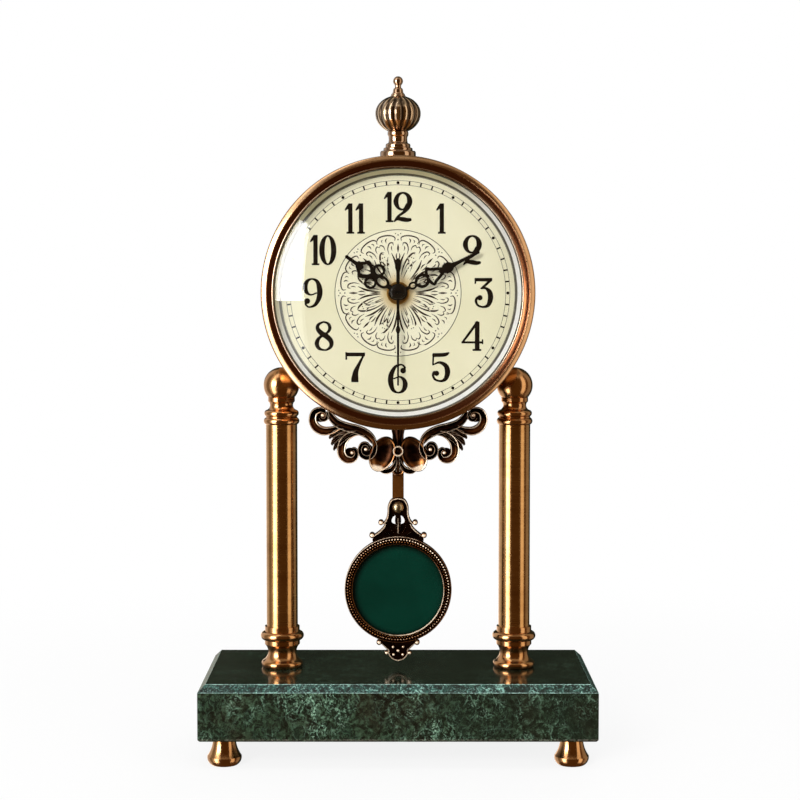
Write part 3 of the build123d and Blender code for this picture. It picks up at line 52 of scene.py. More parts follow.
class Wire:
    """An output of a node. Python operators on it add Math nodes."""

    def __init__(self, surface, socket):
        self.surface = surface
        self.socket = socket

    def math(self, operation, *others):
        sockets = dict(enumerate((self, *others)))
        return self.surface.node("ShaderNodeMath", {"operation": operation}, sockets)

    def __add__(self, other):
        return self.math("ADD", other)

    __radd__ = __add__

    def __sub__(self, other):
        return self.math("SUBTRACT", other)

    def __rsub__(self, other):
        return self.surface.node("ShaderNodeMath", {"operation": "SUBTRACT"}, {0: other, 1: self})

    def __mul__(self, other):
        return self.math("MULTIPLY", other)

    __rmul__ = __mul__

    def __pow__(self, other):
        return self.math("POWER", other)

    def __abs__(self):
        return self.math("ABSOLUTE")

    def rise(self, low, high):
        """0 below low, 1 above high and smooth between."""
        return self.surface.node("ShaderNodeMapRange", {"interpolation_type": "SMOOTHSTEP"},
                                 {"Value": self, "From Min": low, "From Max": high})


class Surface:
    """A finish, or the room's light: one tree of shader nodes, and a method that adds any node to it."""

    def __init__(self, name, owner=None, shader="Principled BSDF", **constants):
        self.material = owner or bpy.data.materials.new(name)
        self.material.use_nodes = True
        self.tree = self.material.node_tree
        self.shader = self.tree.nodes[shader]
        self.look = Wire(self, self.shader.outputs[0])
        self.paint(**constants)
        self.place = self.node("ShaderNodeTexCoord", output="Object")

    def feed(self, socket, value):
        """Links a wire to a socket, or sets the socket's own value."""
        if isinstance(value, Wire):
            self.tree.links.new(value.socket, socket)
        else:
            socket.default_value = value

    def node(self, kind, settings=None, sockets=None, output=0):
        """Adds a node with its settings and sockets, and gives one of its outputs."""
        made = self.tree.nodes.new(kind)
        for key, value in (settings or {}).items():
            setattr(made, key, value)
        for key, value in (sockets or {}).items():
            self.feed(made.inputs[key], value)
        return Wire(self, made.outputs[output])

    def paint(self, **inputs):
        """Feeds the shader's inputs by their names."""
        for name, value in inputs.items():
            self.feed(self.shader.inputs[name.replace("_", " ")], value)

    def split(self, vector):
        return [self.node("ShaderNodeSeparateXYZ", None, {0: vector}, output) for output in "XYZ"]

    def join(self, x, y, z):
        return self.node("ShaderNodeCombineXYZ", None, {0: x, 1: y, 2: z})

    def reach(self, axis_x, axis_z):
        """Distance in metres from an axis that points at the viewer."""
        x, _, z = self.split(self.place)
        across = x - axis_x
        rise = z - axis_z
        return (across * across + rise * rise) ** 0.5

    def noise(self, place, size, detail=3.0, roughness=0.5, output=0):
        """Soft random pattern whose largest marks are about size millimetres."""
        sockets = {"Vector": place, "Scale": 1 / (size * MM), "Detail": detail, "Roughness": roughness}
        return self.node("ShaderNodeTexNoise", None, sockets, output)

    def mix(self, mask, first, second):
        """Colour between two, by a mask."""
        return self.node("ShaderNodeMix", {"data_type": "RGBA"}, {0: mask, 6: first, 7: second}, 2)

    def emboss(self, height, depth):
        """Bump whose full height stands for depth millimetres."""
        self.paint(Normal=self.node("ShaderNodeBump", None, {"Distance": depth * MM, "Height": height}))

    def blend(self, mask, first, second):
        """Shows two shaders, mixed by a mask."""
        mixed = self.node("ShaderNodeMixShader", None, {0: mask, 1: first, 2: second})
        self.feed(self.tree.nodes["Material Output"].inputs["Surface"], mixed)


def tone(red, green, blue):
    """Linear colour of a paint given in display values up to 255."""
    def linear(value):
        share = value / 255
        return share / 12.92 if share <= 0.04045 else ((share + 0.055) / 1.055) ** 2.4
    return (linear(red), linear(green), linear(blue), 1.0)


def dress(finish, *names):
    """Gives CAD nodes a finish."""
    for name in names:
        node = nodes[name]
        if not node.material_slots:
            node.data.materials.append(finish.material)
        for place in node.material_slots:
            place.material = finish.material


slab_low, slab_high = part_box("base_slab")
slab_top = slab_high.z
slab_bevel = 3.8 * MM
arris_width = 0.3 * MM
pebble_size = 1.3
drift_reach = 6 * MM
deep_from, deep_to = -5 * MM, 50 * MM

marble = Surface("green_marble", Coat_Roughness=0.03, IOR=1.5)
drift = marble.noise(marble.place, 9, 4, 0.6, output="Color")
drift = marble.node("ShaderNodeVectorMath", {"operation": "MULTIPLY_ADD"},
                    {0: drift, 1: (drift_reach, drift_reach, drift_reach), 2: marble.place})
slanted = marble.node("ShaderNodeMapping", None,
                      {"Vector": drift, "Rotation": (0.3, 0.75, 0.2), "Scale": (1.0, 1.0, 0.7)})
cloud = marble.noise(marble.place, 26, 3, 0.55).rise(0.4, 0.64)
rust = marble.noise(slanted, 19, 3, 0.55).rise(0.46, 0.66)
grain = marble.noise(drift, 2.6, 6, 0.74)
patch = marble.noise(slanted, 6, 4, 0.6)
speck = marble.noise(marble.place, 0.9, 4, 0.65)
pebble = marble.node("ShaderNodeTexVoronoi", None,
                     {"Vector": slanted, "Scale": 1 / (pebble_size * MM)}, "Color")
pebble = grain * 0.8 + marble.split(pebble)[0] * 0.13 + 0.035


def seams(size, width):
    """Fine broken lines between stones of about this size, both in millimetres."""
    edge = marble.node("ShaderNodeTexVoronoi", {"feature": "DISTANCE_TO_EDGE"},
                       {"Vector": slanted, "Scale": 1 / (size * MM)})
    return 1 - edge.rise(0.0, width / size)


vein = seams(4.6, 0.36) * speck.rise(0.4, 0.54) * patch.rise(0.42, 0.58)
slab_x, _, slab_z = marble.split(marble.place)
# Darker towards the right end of the block
deep_end = slab_x.rise(deep_from, deep_to) * (1 - cloud * 0.55)
facing_up = marble.split(marble.node("ShaderNodeNewGeometry", output="True Normal"))[2]
# The bevel's mask: honed stone, and painted light where the surface faces up
honed_and_lit = facing_up.rise(0.3, 0.5) * (1 - facing_up.rise(0.85, 0.95))
# Painted highlights along both edges of the bevel
off_top = abs(slab_z - slab_top).rise(0.0, arris_width)
off_bevel = abs(slab_z - (slab_top - slab_bevel)).rise(0.0, arris_width)
arris_highlight = 1 - off_top * off_bevel
slab_lift = slab_z - slab_low.z
# A pale line just above the slab's foot: a painted highlight
foot_highlight = slab_lift.rise(0.4 * MM, 0.9 * MM) * (1 - slab_lift.rise(1.1 * MM, 1.7 * MM))
teal = marble.mix(pebble.rise(0.46, 0.64), tone(0, 4, 4), tone(34, 84, 75))
stone = marble.mix(pebble.rise(0.36, 0.64), tone(12, 17, 11), tone(48, 66, 48))
# Layers over the stone: clouds, flecks, seams and veins, then the darker right end, painted shade on the top
# face, the honed bevel with painted light, and painted highlights along the arrises and above the foot
for mask, colour in (
        (patch.rise(0.42, 0.62) * 0.4, tone(26, 46, 35)),
        (rust * (0.25 + grain.rise(0.4, 0.6) * 0.35), tone(38, 31, 22)),
        (pebble.rise(0.5, 0.7) * (0.14 + cloud * 0.8), tone(98, 128, 105)),
        (speck.rise(0.54, 0.68) * cloud * patch.rise(0.45, 0.58), tone(160, 194, 168)),
        (seams(3.4, 0.4) * patch.rise(0.36, 0.54) * 0.6, tone(9, 12, 9)),
        (seams(5.0, 0.3) * (0.2 + cloud * 0.65), tone(11, 15, 10)),
        (seams(21.0, 1.1) * (0.35 + rust * 0.55), tone(10, 9, 6)),
        (vein * (0.1 + cloud * 0.6), tone(120, 158, 132)),
        (deep_end * 0.6, tone(17, 26, 19)),
        # Painted shade: the top face darker, where less light falls
        (facing_up.rise(0.9, 0.97) * 0.6, tone(15, 16, 6)),
        (honed_and_lit * (0.85 - deep_end * 0.35), teal),
        (honed_and_lit * speck.rise(0.55, 0.66) * 0.5, tone(150, 206, 192)),
        (honed_and_lit * vein * (0.25 + cloud * 0.5), tone(160, 214, 198)),
        (honed_and_lit * arris_highlight * (0.25 + speck.rise(0.4, 0.6) * 0.65), tone(190, 232, 220)),
        (foot_highlight * (1 - honed_and_lit) * speck.rise(0.4, 0.6) * 0.5, tone(116, 110, 100))):
    stone = marble.mix(mask, stone, colour)
marble.paint(Base_Color=stone, Roughness=0.1 + honed_and_lit * 0.3 + speck * 0.06, Coat_Weight=0.25 - honed_and_lit * 0.25)
dress(marble, "base_slab")

# The turned pieces are brass, plated and toned to an antique bronze, brushed on the lathe and lacquered:
# four feet on studs, the two columns in their parts, the finial, and the nuts in the wells of the slab.


def cad_mm(length):
    """A place on the CAD in millimetres, to the hundredth, free of the facets' small errors."""
    return round(length / MM, 2)


dial_low, dial_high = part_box("dial_plate")
axis_height = cad_mm((dial_low.z + dial_high.z) / 2) * MM


def bronze(name, upright, bright, deep, roughness, brushing):
    """Toned bronze with lathe marks round an upright axis or round the dial's axis."""
    finish = Surface(name, Metallic=1.0)
    x, y, z = finish.split(finish.place)
    if upright:
        groove_place = finish.join(x * 0.02, y * 0.02, z)
    else:
        groove_place = finish.join(finish.reach(0.0, axis_height), y, 0.0)
    groove = finish.noise(groove_place, 0.35, 2, 0.7)
    shade = finish.noise(groove_place, 2.5, 4, 0.6)
    tarnish = finish.noise(finish.place, 14, 5, 0.6)
    metal = finish.mix(tarnish.rise(0.35, 0.75) * 0.5 + shade.rise(0.35, 0.7) * 0.3, bright, deep)
    finish.paint(Base_Color=metal, Roughness=roughness + groove * brushing)
    finish.emboss(groove, 0.03 * brushing)
    finish.metal = metal
    return finish


turned = bronze("turned_bronze", True, tone(208, 156, 106), tone(172, 120, 74), 0.15, 0.1)
turned.paint(Anisotropic=0.75, Anisotropic_Rotation=0.25)
dress(turned, "foot_front_left", "foot_front_right", "foot_rear_left", "foot_rear_right",
      "column_base_left", "column_base_right", "column_capital_left", "column_capital_right",
      "column_ball_left", "column_ball_right", "tie_rod_nuts")
tube_bronze = bronze("brushed_tube", True, tone(204, 156, 102), tone(166, 116, 66), 0.18, 0.14)
tube_bronze.paint(Anisotropic=0.9, Anisotropic_Rotation=0.25)
dress(tube_bronze, "column_tube_left", "column_tube_right")
finial_bronze = bronze("polished_finial", True, tone(192, 158, 128), tone(142, 106, 78), 0.07, 0.05)
finial_bronze.paint(Anisotropic=0.5, Anisotropic_Rotation=0.25)

# Hidden steel: the tie rods inside the columns, the screws from inside the drum, the pivot pin and the
# springs. Drawn rod and turned screws, bright zinc with a faint grain.


def grained(name, size, detail, first, second, roughness, spread, low=0.3, high=0.7, **constants):
    """Finish of two close tones in a fine grain, which also varies its gloss."""
    finish = Surface(name, **constants)
    grain = finish.noise(finish.place, size, detail)
    finish.paint(Base_Color=finish.mix(grain.rise(low, high), first, second),
                 Roughness=roughness + grain * spread)
    return finish


steel = grained("bright_steel", 0.6, 3, tone(176, 178, 182), tone(206, 207, 208), 0.24, 0.12, Metallic=1.0)
dress(steel, "tie_rod_left", "tie_rod_right", "ball_screws", "finial_screw", "crest_screws",
      "rear_cover_screws", "pivot_pin", "stator", "battery_contacts")

# The drum is rolled and brazed brass sheet with a ring-shaped lid at the back, both toned like the columns.
# The bezel is spun and turned: a bright shoulder, two fine lines, and a slope to a narrow lip; the slope is
# painted dark as painted shade, the lip pale as a painted highlight, and the lip's inner wall dark as painted
# shadow.
drum_bronze = bronze("drum_bronze", False, tone(200, 156, 106), tone(160, 116, 70), 0.24, 0.12)
dress(drum_bronze, "case_shell", "rear_cover")
bezel_bronze = bronze("bezel_bronze", False, tone(204, 162, 122), tone(176, 132, 92), 0.15, 0.1)
bezel_reach = bezel_bronze.reach(0.0, axis_height)
slope_edge = 66.4 * MM
lip_edge = 63.7 * MM
wall_edge = 62.95 * MM
# Painted shade on the slope and on the lip's inner wall, and a painted highlight on the lip
slope_shade = 1 - bezel_reach.rise(slope_edge, slope_edge + 0.25 * MM)
lip_highlight = 1 - bezel_reach.rise(lip_edge, lip_edge + 0.15 * MM)
lip_wall_shade = 1 - bezel_reach.rise(wall_edge, wall_edge + 0.15 * MM)
shaded_slope_metal = bezel_bronze.mix(slope_shade * 0.8, bezel_bronze.metal, tone(120, 56, 22))
lip_highlight_metal = bezel_bronze.mix(lip_highlight * 0.8, shaded_slope_metal, tone(206, 184, 160))
bezel_bronze.paint(Base_Color=bezel_bronze.mix(lip_wall_shade * 0.9, lip_highlight_metal, tone(40, 22, 12)))
# Each line as (radius, place along the dial's axis) in millimetres
shoulder_line = [(69.4, -24.0), (69.4, -27.9), (69.36, -28.2), (69.25, -28.46), (69.0, -28.7),
                 (68.5, -28.99), (68.0, -29.24), (67.5, -29.46), (67.0, -29.66), (66.7, -29.77),
                 (66.62, -29.72), (66.5, -29.74), (66.42, -29.86), (66.3, -29.88), (66.2, -29.8)]
slope_line = [(66.05, -29.78), (65.5, -29.64), (64.9, -29.46), (64.3, -29.26), (63.8, -29.06)]
lip_line = [(63.7, -29.2), (63.45, -29.36), (63.15, -29.34), (62.9, -29.12), (62.8, -28.8), (62.8, -28.0),
            (64.6, -28.0), (64.6, -24.0)]


def put(name, data):
    """New object of the scene for a mesh, a curve, a lamp or a camera."""
    made = bpy.data.objects.new(name, data)
    bpy.context.scene.collection.objects.link(made)
    return made


def place_mesh(name, mesh, sharp=40):
    """Puts a finished mesh in the scene, smooth but for edges sharper than an angle."""
    mesh.name = name
    mesh.shade_smooth()
    mesh.set_sharp_from_angle(angle=radians(sharp))
    return put(name, mesh)


def closed_mesh(name, mesh, sharp=40):
    """Turns a bmesh into a piece with its faces outward."""
    bmesh.ops.recalc_face_normals(mesh, faces=mesh.faces)
    data = bpy.data.meshes.new(name)
    mesh.to_mesh(data)
    mesh.free()
    return place_mesh(name, data, sharp)


def finish_piece(piece, finish, body, slot, *replaced):
    """Gives a new piece its finish and its body, and hides the CAD nodes that it stands for; the slot is not
    used.
    """
    piece.data.materials.clear()
    piece.data.materials.append(finish.material)
    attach(piece, body)
    if replaced:
        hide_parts(*replaced)


def bridge(mesh, rows, closed, loops=True):
    """Faces between rows of vertices, each a loop or an open line; closed joins the last row to the first."""
    for first, second in zip(rows, rows[1:] + (rows[:1] if closed else [])):
        for number in range(len(first) if loops else len(first) - 1):
            following = (number + 1) % len(first)
            mesh.faces.new((first[number], first[following], second[following], second[number]))


def spun(name, outline, count=240, upright=False):
    """Piece turned about the dial's axis, or upright, from a closed line of (radius, place) points."""
    mesh = bmesh.new()
    rows = []
    for number in range(count):
        angle = 2 * pi * number / count
        if upright:
            row = [(radius * sin(angle), -radius * cos(angle), place) for radius, place in outline]
        else:
            row = [(radius * sin(angle), place, axis_height / MM + radius * cos(angle))
                   for radius, place in outline]
        rows.append([mesh.verts.new(Vector(place) * MM) for place in row])
    bridge(mesh, rows, True)
    return closed_mesh(name, mesh)


bezel = spun("bezel_spun", shoulder_line + slope_line + lip_line)
finish_piece(bezel, bezel_bronze, "clock_frame", "bronze", "bezel")

# The dial is a thin brass disc, lacquered cream with a faint tooth. Hours and minute track are printed in
# black ink and the scrolled rosette in sepia, so they stand a hair's breadth proud of the lacquer.
dial_front = cad_mm(dial_low.y)
ink_height = 0.04
numeral_height = 15.3
numeral_circle = 43.45
track_outer = 56.7
track_inner = 54.6
track_line = 0.2
tick_width = 0.78
dot_radius = 0.78
rosette_circle = 32.0
rosette_line = 0.34
dial_border = 59.3
tint_inner, tint_outer = 5.0 * MM, 12.5 * MM

cream = Surface("cream_lacquer", Coat_Weight=0.1, Coat_Roughness=0.2)
tooth = cream.noise(cream.place, 0.5, 3)
ageing = cream.noise(cream.place, 40, 3)
cream_reach = cream.reach(0.0, axis_height)
lacquer_colour = cream.mix(ageing.rise(0.3, 0.75), tone(240, 234, 202), tone(232, 226, 190))
inside_circle = 1 - cream_reach.rise((rosette_circle - 0.1) * MM, (rosette_circle + 0.1) * MM)
lacquer_colour = cream.mix(inside_circle * 0.4, lacquer_colour, tone(250, 244, 222))
# A golden-brown tint round the centre
centre_tint = 1 - cream_reach.rise(tint_inner, tint_outer)
lacquer_colour = cream.mix(centre_tint * (0.3 + ageing * 0.8), lacquer_colour, tone(204, 168, 98))
cream.paint(Base_Color=lacquer_colour, Roughness=0.42 + tooth * 0.14)
cream.emboss(tooth, 0.004)
dress(cream, "dial_plate")

ink = grained("black_ink", 0.4, 3, tone(9, 7, 6), tone(18, 14, 11), 0.42, 0.16, 0.35, 0.75,
              Specular_IOR_Level=0.05)


def smooth_line(points, count):
    """Points of a smooth curve through control points of any number of values."""
    given = np.array(points, float)
    ends = np.vstack([2 * given[0] - given[1], given, 2 * given[-1] - given[-2]])
    spans = len(given) - 1
    line = []
    for place in np.linspace(0, spans, count):
        number = min(int(place), spans - 1)
        share = place - number
        before, start, stop, after = ends[number:number + 4]
        line.append(0.5 * (2 * start + (stop - before) * share
                           + (2 * before - 5 * start + 4 * stop - after) * share**2
                           + (3 * start - before - 3 * stop + after) * share**3))
    return np.array(line)


def stroke(points, count=40):
    """Brush stroke along (x, rise, width) points, as a distance to its edge."""
    line = smooth_line(points, count)

    def distance(x, rise):
        best = np.full(x.shape, 1e9)
        for at_x, at_rise, width in line:
            best = np.minimum(best, np.hypot(x - at_x, rise - at_rise) - max(width, 0.0) / 2)
        return best
    return distance


def paired(*lines, count=40):
    """Strokes with their mirror images."""
    both = []
    for points in lines:
        both += [stroke(points, count), stroke([(-x, rise, width) for x, rise, width in points], count)]
    return both


def disc(at_x, at_rise, half_width, half_height=None):
    """Round or oval blot, as a distance to its edge."""
    half_height = half_height or half_width

    def distance(x, rise):
        share = np.hypot((x - at_x) / half_width, (rise - at_rise) / half_height)
        return (share - 1) * min(half_width, half_height)
    return distance


def bar(left, bottom, right, top):
    """Straight-sided bar, as a distance to its edge."""
    def distance(x, rise):
        return np.maximum(np.maximum(left - x, x - right), np.maximum(bottom - rise, rise - top))
    return distance


def contour(solid, holes, box, pitch):
    """Closed outlines of joined shapes less their holes, found on a fine grid."""
    left, bottom, right, top = box
    xs = np.arange(left, right + pitch, pitch)
    rises = np.arange(bottom, top + pitch, pitch)
    grid_x, grid_rise = np.meshgrid(xs, rises, indexing="ij")
    field = np.minimum.reduce([shape(grid_x, grid_rise) for shape in solid])
    for shape in holes:
        field = np.maximum(field, -shape(grid_x, grid_rise))
    field[np.abs(field) < 1e-9] = 1e-9
    inside = field < 0
    mixed = (inside[:-1, :-1] != inside[1:, :-1]) | (inside[:-1, :-1] != inside[:-1, 1:]) | (
        inside[:-1, :-1] != inside[1:, 1:])
    joints = {}
    places = {}

    def crossing(first, second):
        key = (first, second)
        if key not in places:
            share = field[first] / (field[first] - field[second])
            places[key] = (xs[first[0]] + share * (xs[second[0]] - xs[first[0]]),
                           rises[first[1]] + share * (rises[second[1]] - rises[first[1]]))
        return key

    for column, row in np.argwhere(mixed):
        corners = [(column, row), (column + 1, row), (column + 1, row + 1), (column, row + 1)]
        hits = []
        for number in range(4):
            first, second = sorted((corners[number], corners[(number + 1) % 4]))
            if inside[first] != inside[second]:
                hits.append(crossing(first, second))
        if len(hits) == 4 and inside[corners[0]] != (field[column:column + 2, row:row + 2].mean() < 0):
            hits = [hits[3], *hits[:3]]
        for first, second in zip(hits[::2], hits[1::2]):
            joints.setdefault(first, []).append(second)
            joints.setdefault(second, []).append(first)
    loops = []
    while joints:
        start = next(iter(joints))
        loop = [start]
        while True:
            following = joints.pop(loop[-1], [])
            ahead = [key for key in following if key in joints]
            if not ahead:
                break
            loop.append(ahead[0])
        if len(loop) > 5:
            loops.append(simplified([places[key] for key in loop], pitch * 0.08))
    return loops


def simplified(loop, slack):
    """The loop with only the points that its shape needs."""
    points = np.array(loop)
    far = int(np.argmax(np.linalg.norm(points - points[0], axis=1)))
    kept = {0, far}
    spans = [(0, far), (far, len(points))]
    while spans:
        start, stop = spans.pop()
        between = points[start + 1:stop] - points[start]
        chord = points[stop % len(points)] - points[start]
        if not len(between):
            continue
        away = np.abs(between[:, 0] * chord[1] - between[:, 1] * chord[0]) / np.hypot(*chord)
        worst = int(np.argmax(away))
        if away[worst] > slack:
            middle = start + 1 + worst
            kept.add(middle)
            spans += [(start, middle), (middle, stop)]
    return [loop[number] for number in sorted(kept)]


def cut_sheet(name, loops, back, thickness, bevel=0.0):
    """Flat piece with these outlines, its back face at a depth, in millimetres, facing the viewer."""
    curve = bpy.data.curves.new(name, "CURVE")
    curve.dimensions = "2D"
    curve.fill_mode = "BOTH"
    curve.extrude = (thickness / 2 - bevel) * MM
    curve.bevel_depth = bevel * MM
    curve.bevel_resolution = 2
    curve.offset = -bevel * MM
    for loop in loops:
        line = curve.splines.new("POLY")
        line.points.add(len(loop) - 1)
        line.use_cyclic_u = True
        for point, (x, rise) in zip(line.points, loop):
            point.co = (x * MM, rise * MM, 0.0, 1.0)
    drawn = put(name + "_drawn", curve)
    mesh = bpy.data.meshes.new_from_object(drawn.evaluated_get(bpy.context.evaluated_depsgraph_get()))
    bpy.data.objects.remove(drawn)
    for vertex in mesh.vertices:
        x, rise, toward = vertex.co
        vertex.co = (x, (back - thickness / 2) * MM - toward, rise)
    return place_mesh(name, mesh)


curl_end = [(0.05, 0.22, 0.085), (0.075, 0.32, 0.09), (0.15, 0.37, 0.09)]
lower_bowl = [(0.53, 0.33, 0.18), (0.46, 0.11, 0.13), (0.30, 0.038, 0.075), (0.12, 0.09, 0.075)]
six_lines = [(0.53, 0.80, 0.09), (0.55, 0.88, 0.07), (0.43, 0.965, 0.06), (0.23, 0.88, 0.11),
             (0.10, 0.62, 0.17), (0.09, 0.36, 0.18), (0.17, 0.12, 0.12), (0.34, 0.033, 0.06),
             (0.50, 0.11, 0.12), (0.57, 0.29, 0.17), (0.52, 0.47, 0.12), (0.38, 0.56, 0.06),
             (0.20, 0.50, 0.05)]
eight_lines = [(0.30, 0.967, 0.06), (0.14, 0.88, 0.10), (0.105, 0.75, 0.13), (0.22, 0.60, 0.17),
               (0.42, 0.47, 0.18), (0.55, 0.32, 0.16), (0.55, 0.16, 0.12), (0.43, 0.05, 0.075),
               (0.31, 0.033, 0.065), (0.15, 0.09, 0.11), (0.08, 0.25, 0.15), (0.15, 0.42, 0.11),
               (0.32, 0.54, 0.07), (0.46, 0.64, 0.09), (0.51, 0.77, 0.12), (0.45, 0.91, 0.09),
               (0.30, 0.967, 0.06)]
# Each figure in shares of its height: width, strokes, blots and bars that are joined, and blots left open
figure_margin = 0.05
figure_pitch = 0.011
figures = {
    "0": (0.57, [], [(0.285, 0.5, 0.285, 0.5)], [], [(0.285, 0.5, 0.105, 0.437)]),
    "1": (0.32, [[(0.025, 0.785, 0.05), (0.075, 0.845, 0.085), (0.15, 0.94, 0.11)]], [],
          [(0.115, 0.0, 0.26, 1.0), (0.06, 0.0, 0.315, 0.062)], []),
    "2": (0.63, [[(0.44, 0.60, 0.05), (0.33, 0.425, 0.06), (0.17, 0.47, 0.10), (0.085, 0.67, 0.17),
                  (0.15, 0.88, 0.12), (0.31, 0.965, 0.07), (0.47, 0.89, 0.12), (0.54, 0.70, 0.18),
                  (0.48, 0.48, 0.14), (0.33, 0.32, 0.10), (0.15, 0.19, 0.075), (0.05, 0.05, 0.06)],
                 [(0.03, 0.03, 0.05), (0.13, 0.115, 0.11), (0.29, 0.10, 0.15), (0.44, 0.075, 0.14),
                  (0.55, 0.085, 0.11)]], [], [], []),
    "3": (0.61, [[(0.54, 0.93, 0.08), (0.40, 0.80, 0.09), (0.25, 0.665, 0.075)],
                 [(0.22, 0.655, 0.055), (0.38, 0.655, 0.085), (0.50, 0.53, 0.16), *lower_bowl, *curl_end]],
          [(0.18, 0.345, 0.088)], [(0.0, 0.885, 0.585, 1.0), (0.0, 0.80, 0.055, 1.0)], []),
    "4": (0.74, [[(0.535, 0.955, 0.085), (0.30, 0.62, 0.085), (0.05, 0.285, 0.07)]], [],
          [(0.46, 0.0, 0.615, 0.97), (0.015, 0.25, 0.735, 0.32), (0.385, 0.0, 0.675, 0.065),
           (0.69, 0.225, 0.74, 0.385)], []),
    "5": (0.61, [[(0.08, 0.90, 0.13), (0.30, 0.905, 0.13), (0.47, 0.925, 0.12), (0.57, 0.975, 0.05)],
                 [(0.06, 0.94, 0.06), (0.045, 0.585, 0.055)],
                 [(0.05, 0.58, 0.045), (0.26, 0.655, 0.085), (0.47, 0.55, 0.15), *lower_bowl, *curl_end[:2],
                  (0.13, 0.335, 0.08)]],
          [(0.165, 0.295, 0.088)], [], []),
    "6": (0.66, [six_lines], [(0.50, 0.765, 0.095)], [], []),
    "7": (0.66, [[(0.625, 0.93, 0.06), (0.47, 0.63, 0.10), (0.35, 0.36, 0.17), (0.315, 0.12, 0.235)]], [],
          [(0.0, 0.86, 0.655, 0.985), (0.0, 0.745, 0.06, 1.0), (0.195, 0.0, 0.435, 0.13)], []),
    "8": (0.63, [eight_lines], [], [], []),
    "9": (0.66, [[(0.66 - x, 1 - rise, width) for x, rise, width in six_lines]],
          [(0.16, 0.235, 0.095)], [], []),
}
figure_loops = {}
for figure, (width, strokes, blots, bars, open_blots) in figures.items():
    solid = [stroke(points, 90) for points in strokes]
    solid += [disc(*blot) for blot in blots] + [bar(*sides) for sides in bars]
    box = (-figure_margin, -figure_margin, width + figure_margin, 1 + figure_margin)
    figure_loops[figure] = contour(solid, [disc(*blot) for blot in open_blots], box, figure_pitch)
figure_offsets = {"10": (-0.46, -0.15), "11": (-0.345, 0.01), "12": (-0.47, -0.153)}
numeral_loops = []
for hour in range(1, 13):
    text = str(hour)
    bearing = radians(30 * hour)
    middle_x = numeral_circle * sin(bearing)
    middle_rise = axis_height / MM + numeral_circle * cos(bearing)
    offsets = figure_offsets.get(text, (-figures[text[0]][0] / 2,))
    for figure, offset in zip(text, offsets):
        for loop in figure_loops[figure]:
            numeral_loops.append([(middle_x + numeral_height * (x + offset),
                                   middle_rise + numeral_height * (rise - 0.5)) for x, rise in loop])
numerals = cut_sheet("dial_numerals", numeral_loops, dial_front, ink_height)
finish_piece(numerals, ink, "clock_frame", "hands")


def circle_loop(radius, count, x=0.0, rise=0.0):
    return [(x + radius * cos(2 * pi * number / count), rise + radius * sin(2 * pi * number / count))
            for number in range(count)]


def turned_loop(loop, bearing):
    """Loop round the dial's centre, turned clockwise and set at the dial."""
    along, across = cos(bearing), sin(bearing)
    return [(x * along + rise * across, axis_height / MM + rise * along - x * across) for x, rise in loop]


def ink_prisms(name, loops, rings):
    """Printed bars, dots and rings, each a thin closed prism on the dial."""
    mesh = bmesh.new()

    def layer(loop, depth):
        return [mesh.verts.new((x * MM, depth * MM, rise * MM)) for x, rise in loop]

    for loop in loops:
        rear = layer(loop, dial_front)
        front = layer(loop, dial_front - ink_height)
        mesh.faces.new(rear)
        mesh.faces.new(front)
        bridge(mesh, [rear, front], False)
    for inner, outer in rings:
        layers = [layer(inner, dial_front), layer(outer, dial_front), layer(outer, dial_front - ink_height),
                  layer(inner, dial_front - ink_height)]
        bridge(mesh, layers, True)
    return closed_mesh(name, mesh)


track_rings = []
for radius, width in ((track_outer, track_line), (track_inner, track_line), (rosette_circle, rosette_line),
                      (dial_border, track_line)):
    track_rings.append([turned_loop(circle_loop(radius + side * width / 2, 240), 0.0) for side in (-1, 1)])
tick_low = track_inner + track_line / 2
tick_high = track_outer - track_line / 2
marks = []
for minute in range(60):
    if minute % 5:
        half = tick_width / 2
        mark = [(-half, tick_low), (half, tick_low), (half, tick_high), (-half, tick_high)]
    else:
        mark = circle_loop(dot_radius, 20, 0.0, (track_inner + track_outer) / 2)
    marks.append(turned_loop(mark, radians(6 * minute)))
track = ink_prisms("dial_track", marks, track_rings)
finish_piece(track, ink, "clock_frame", "hands")

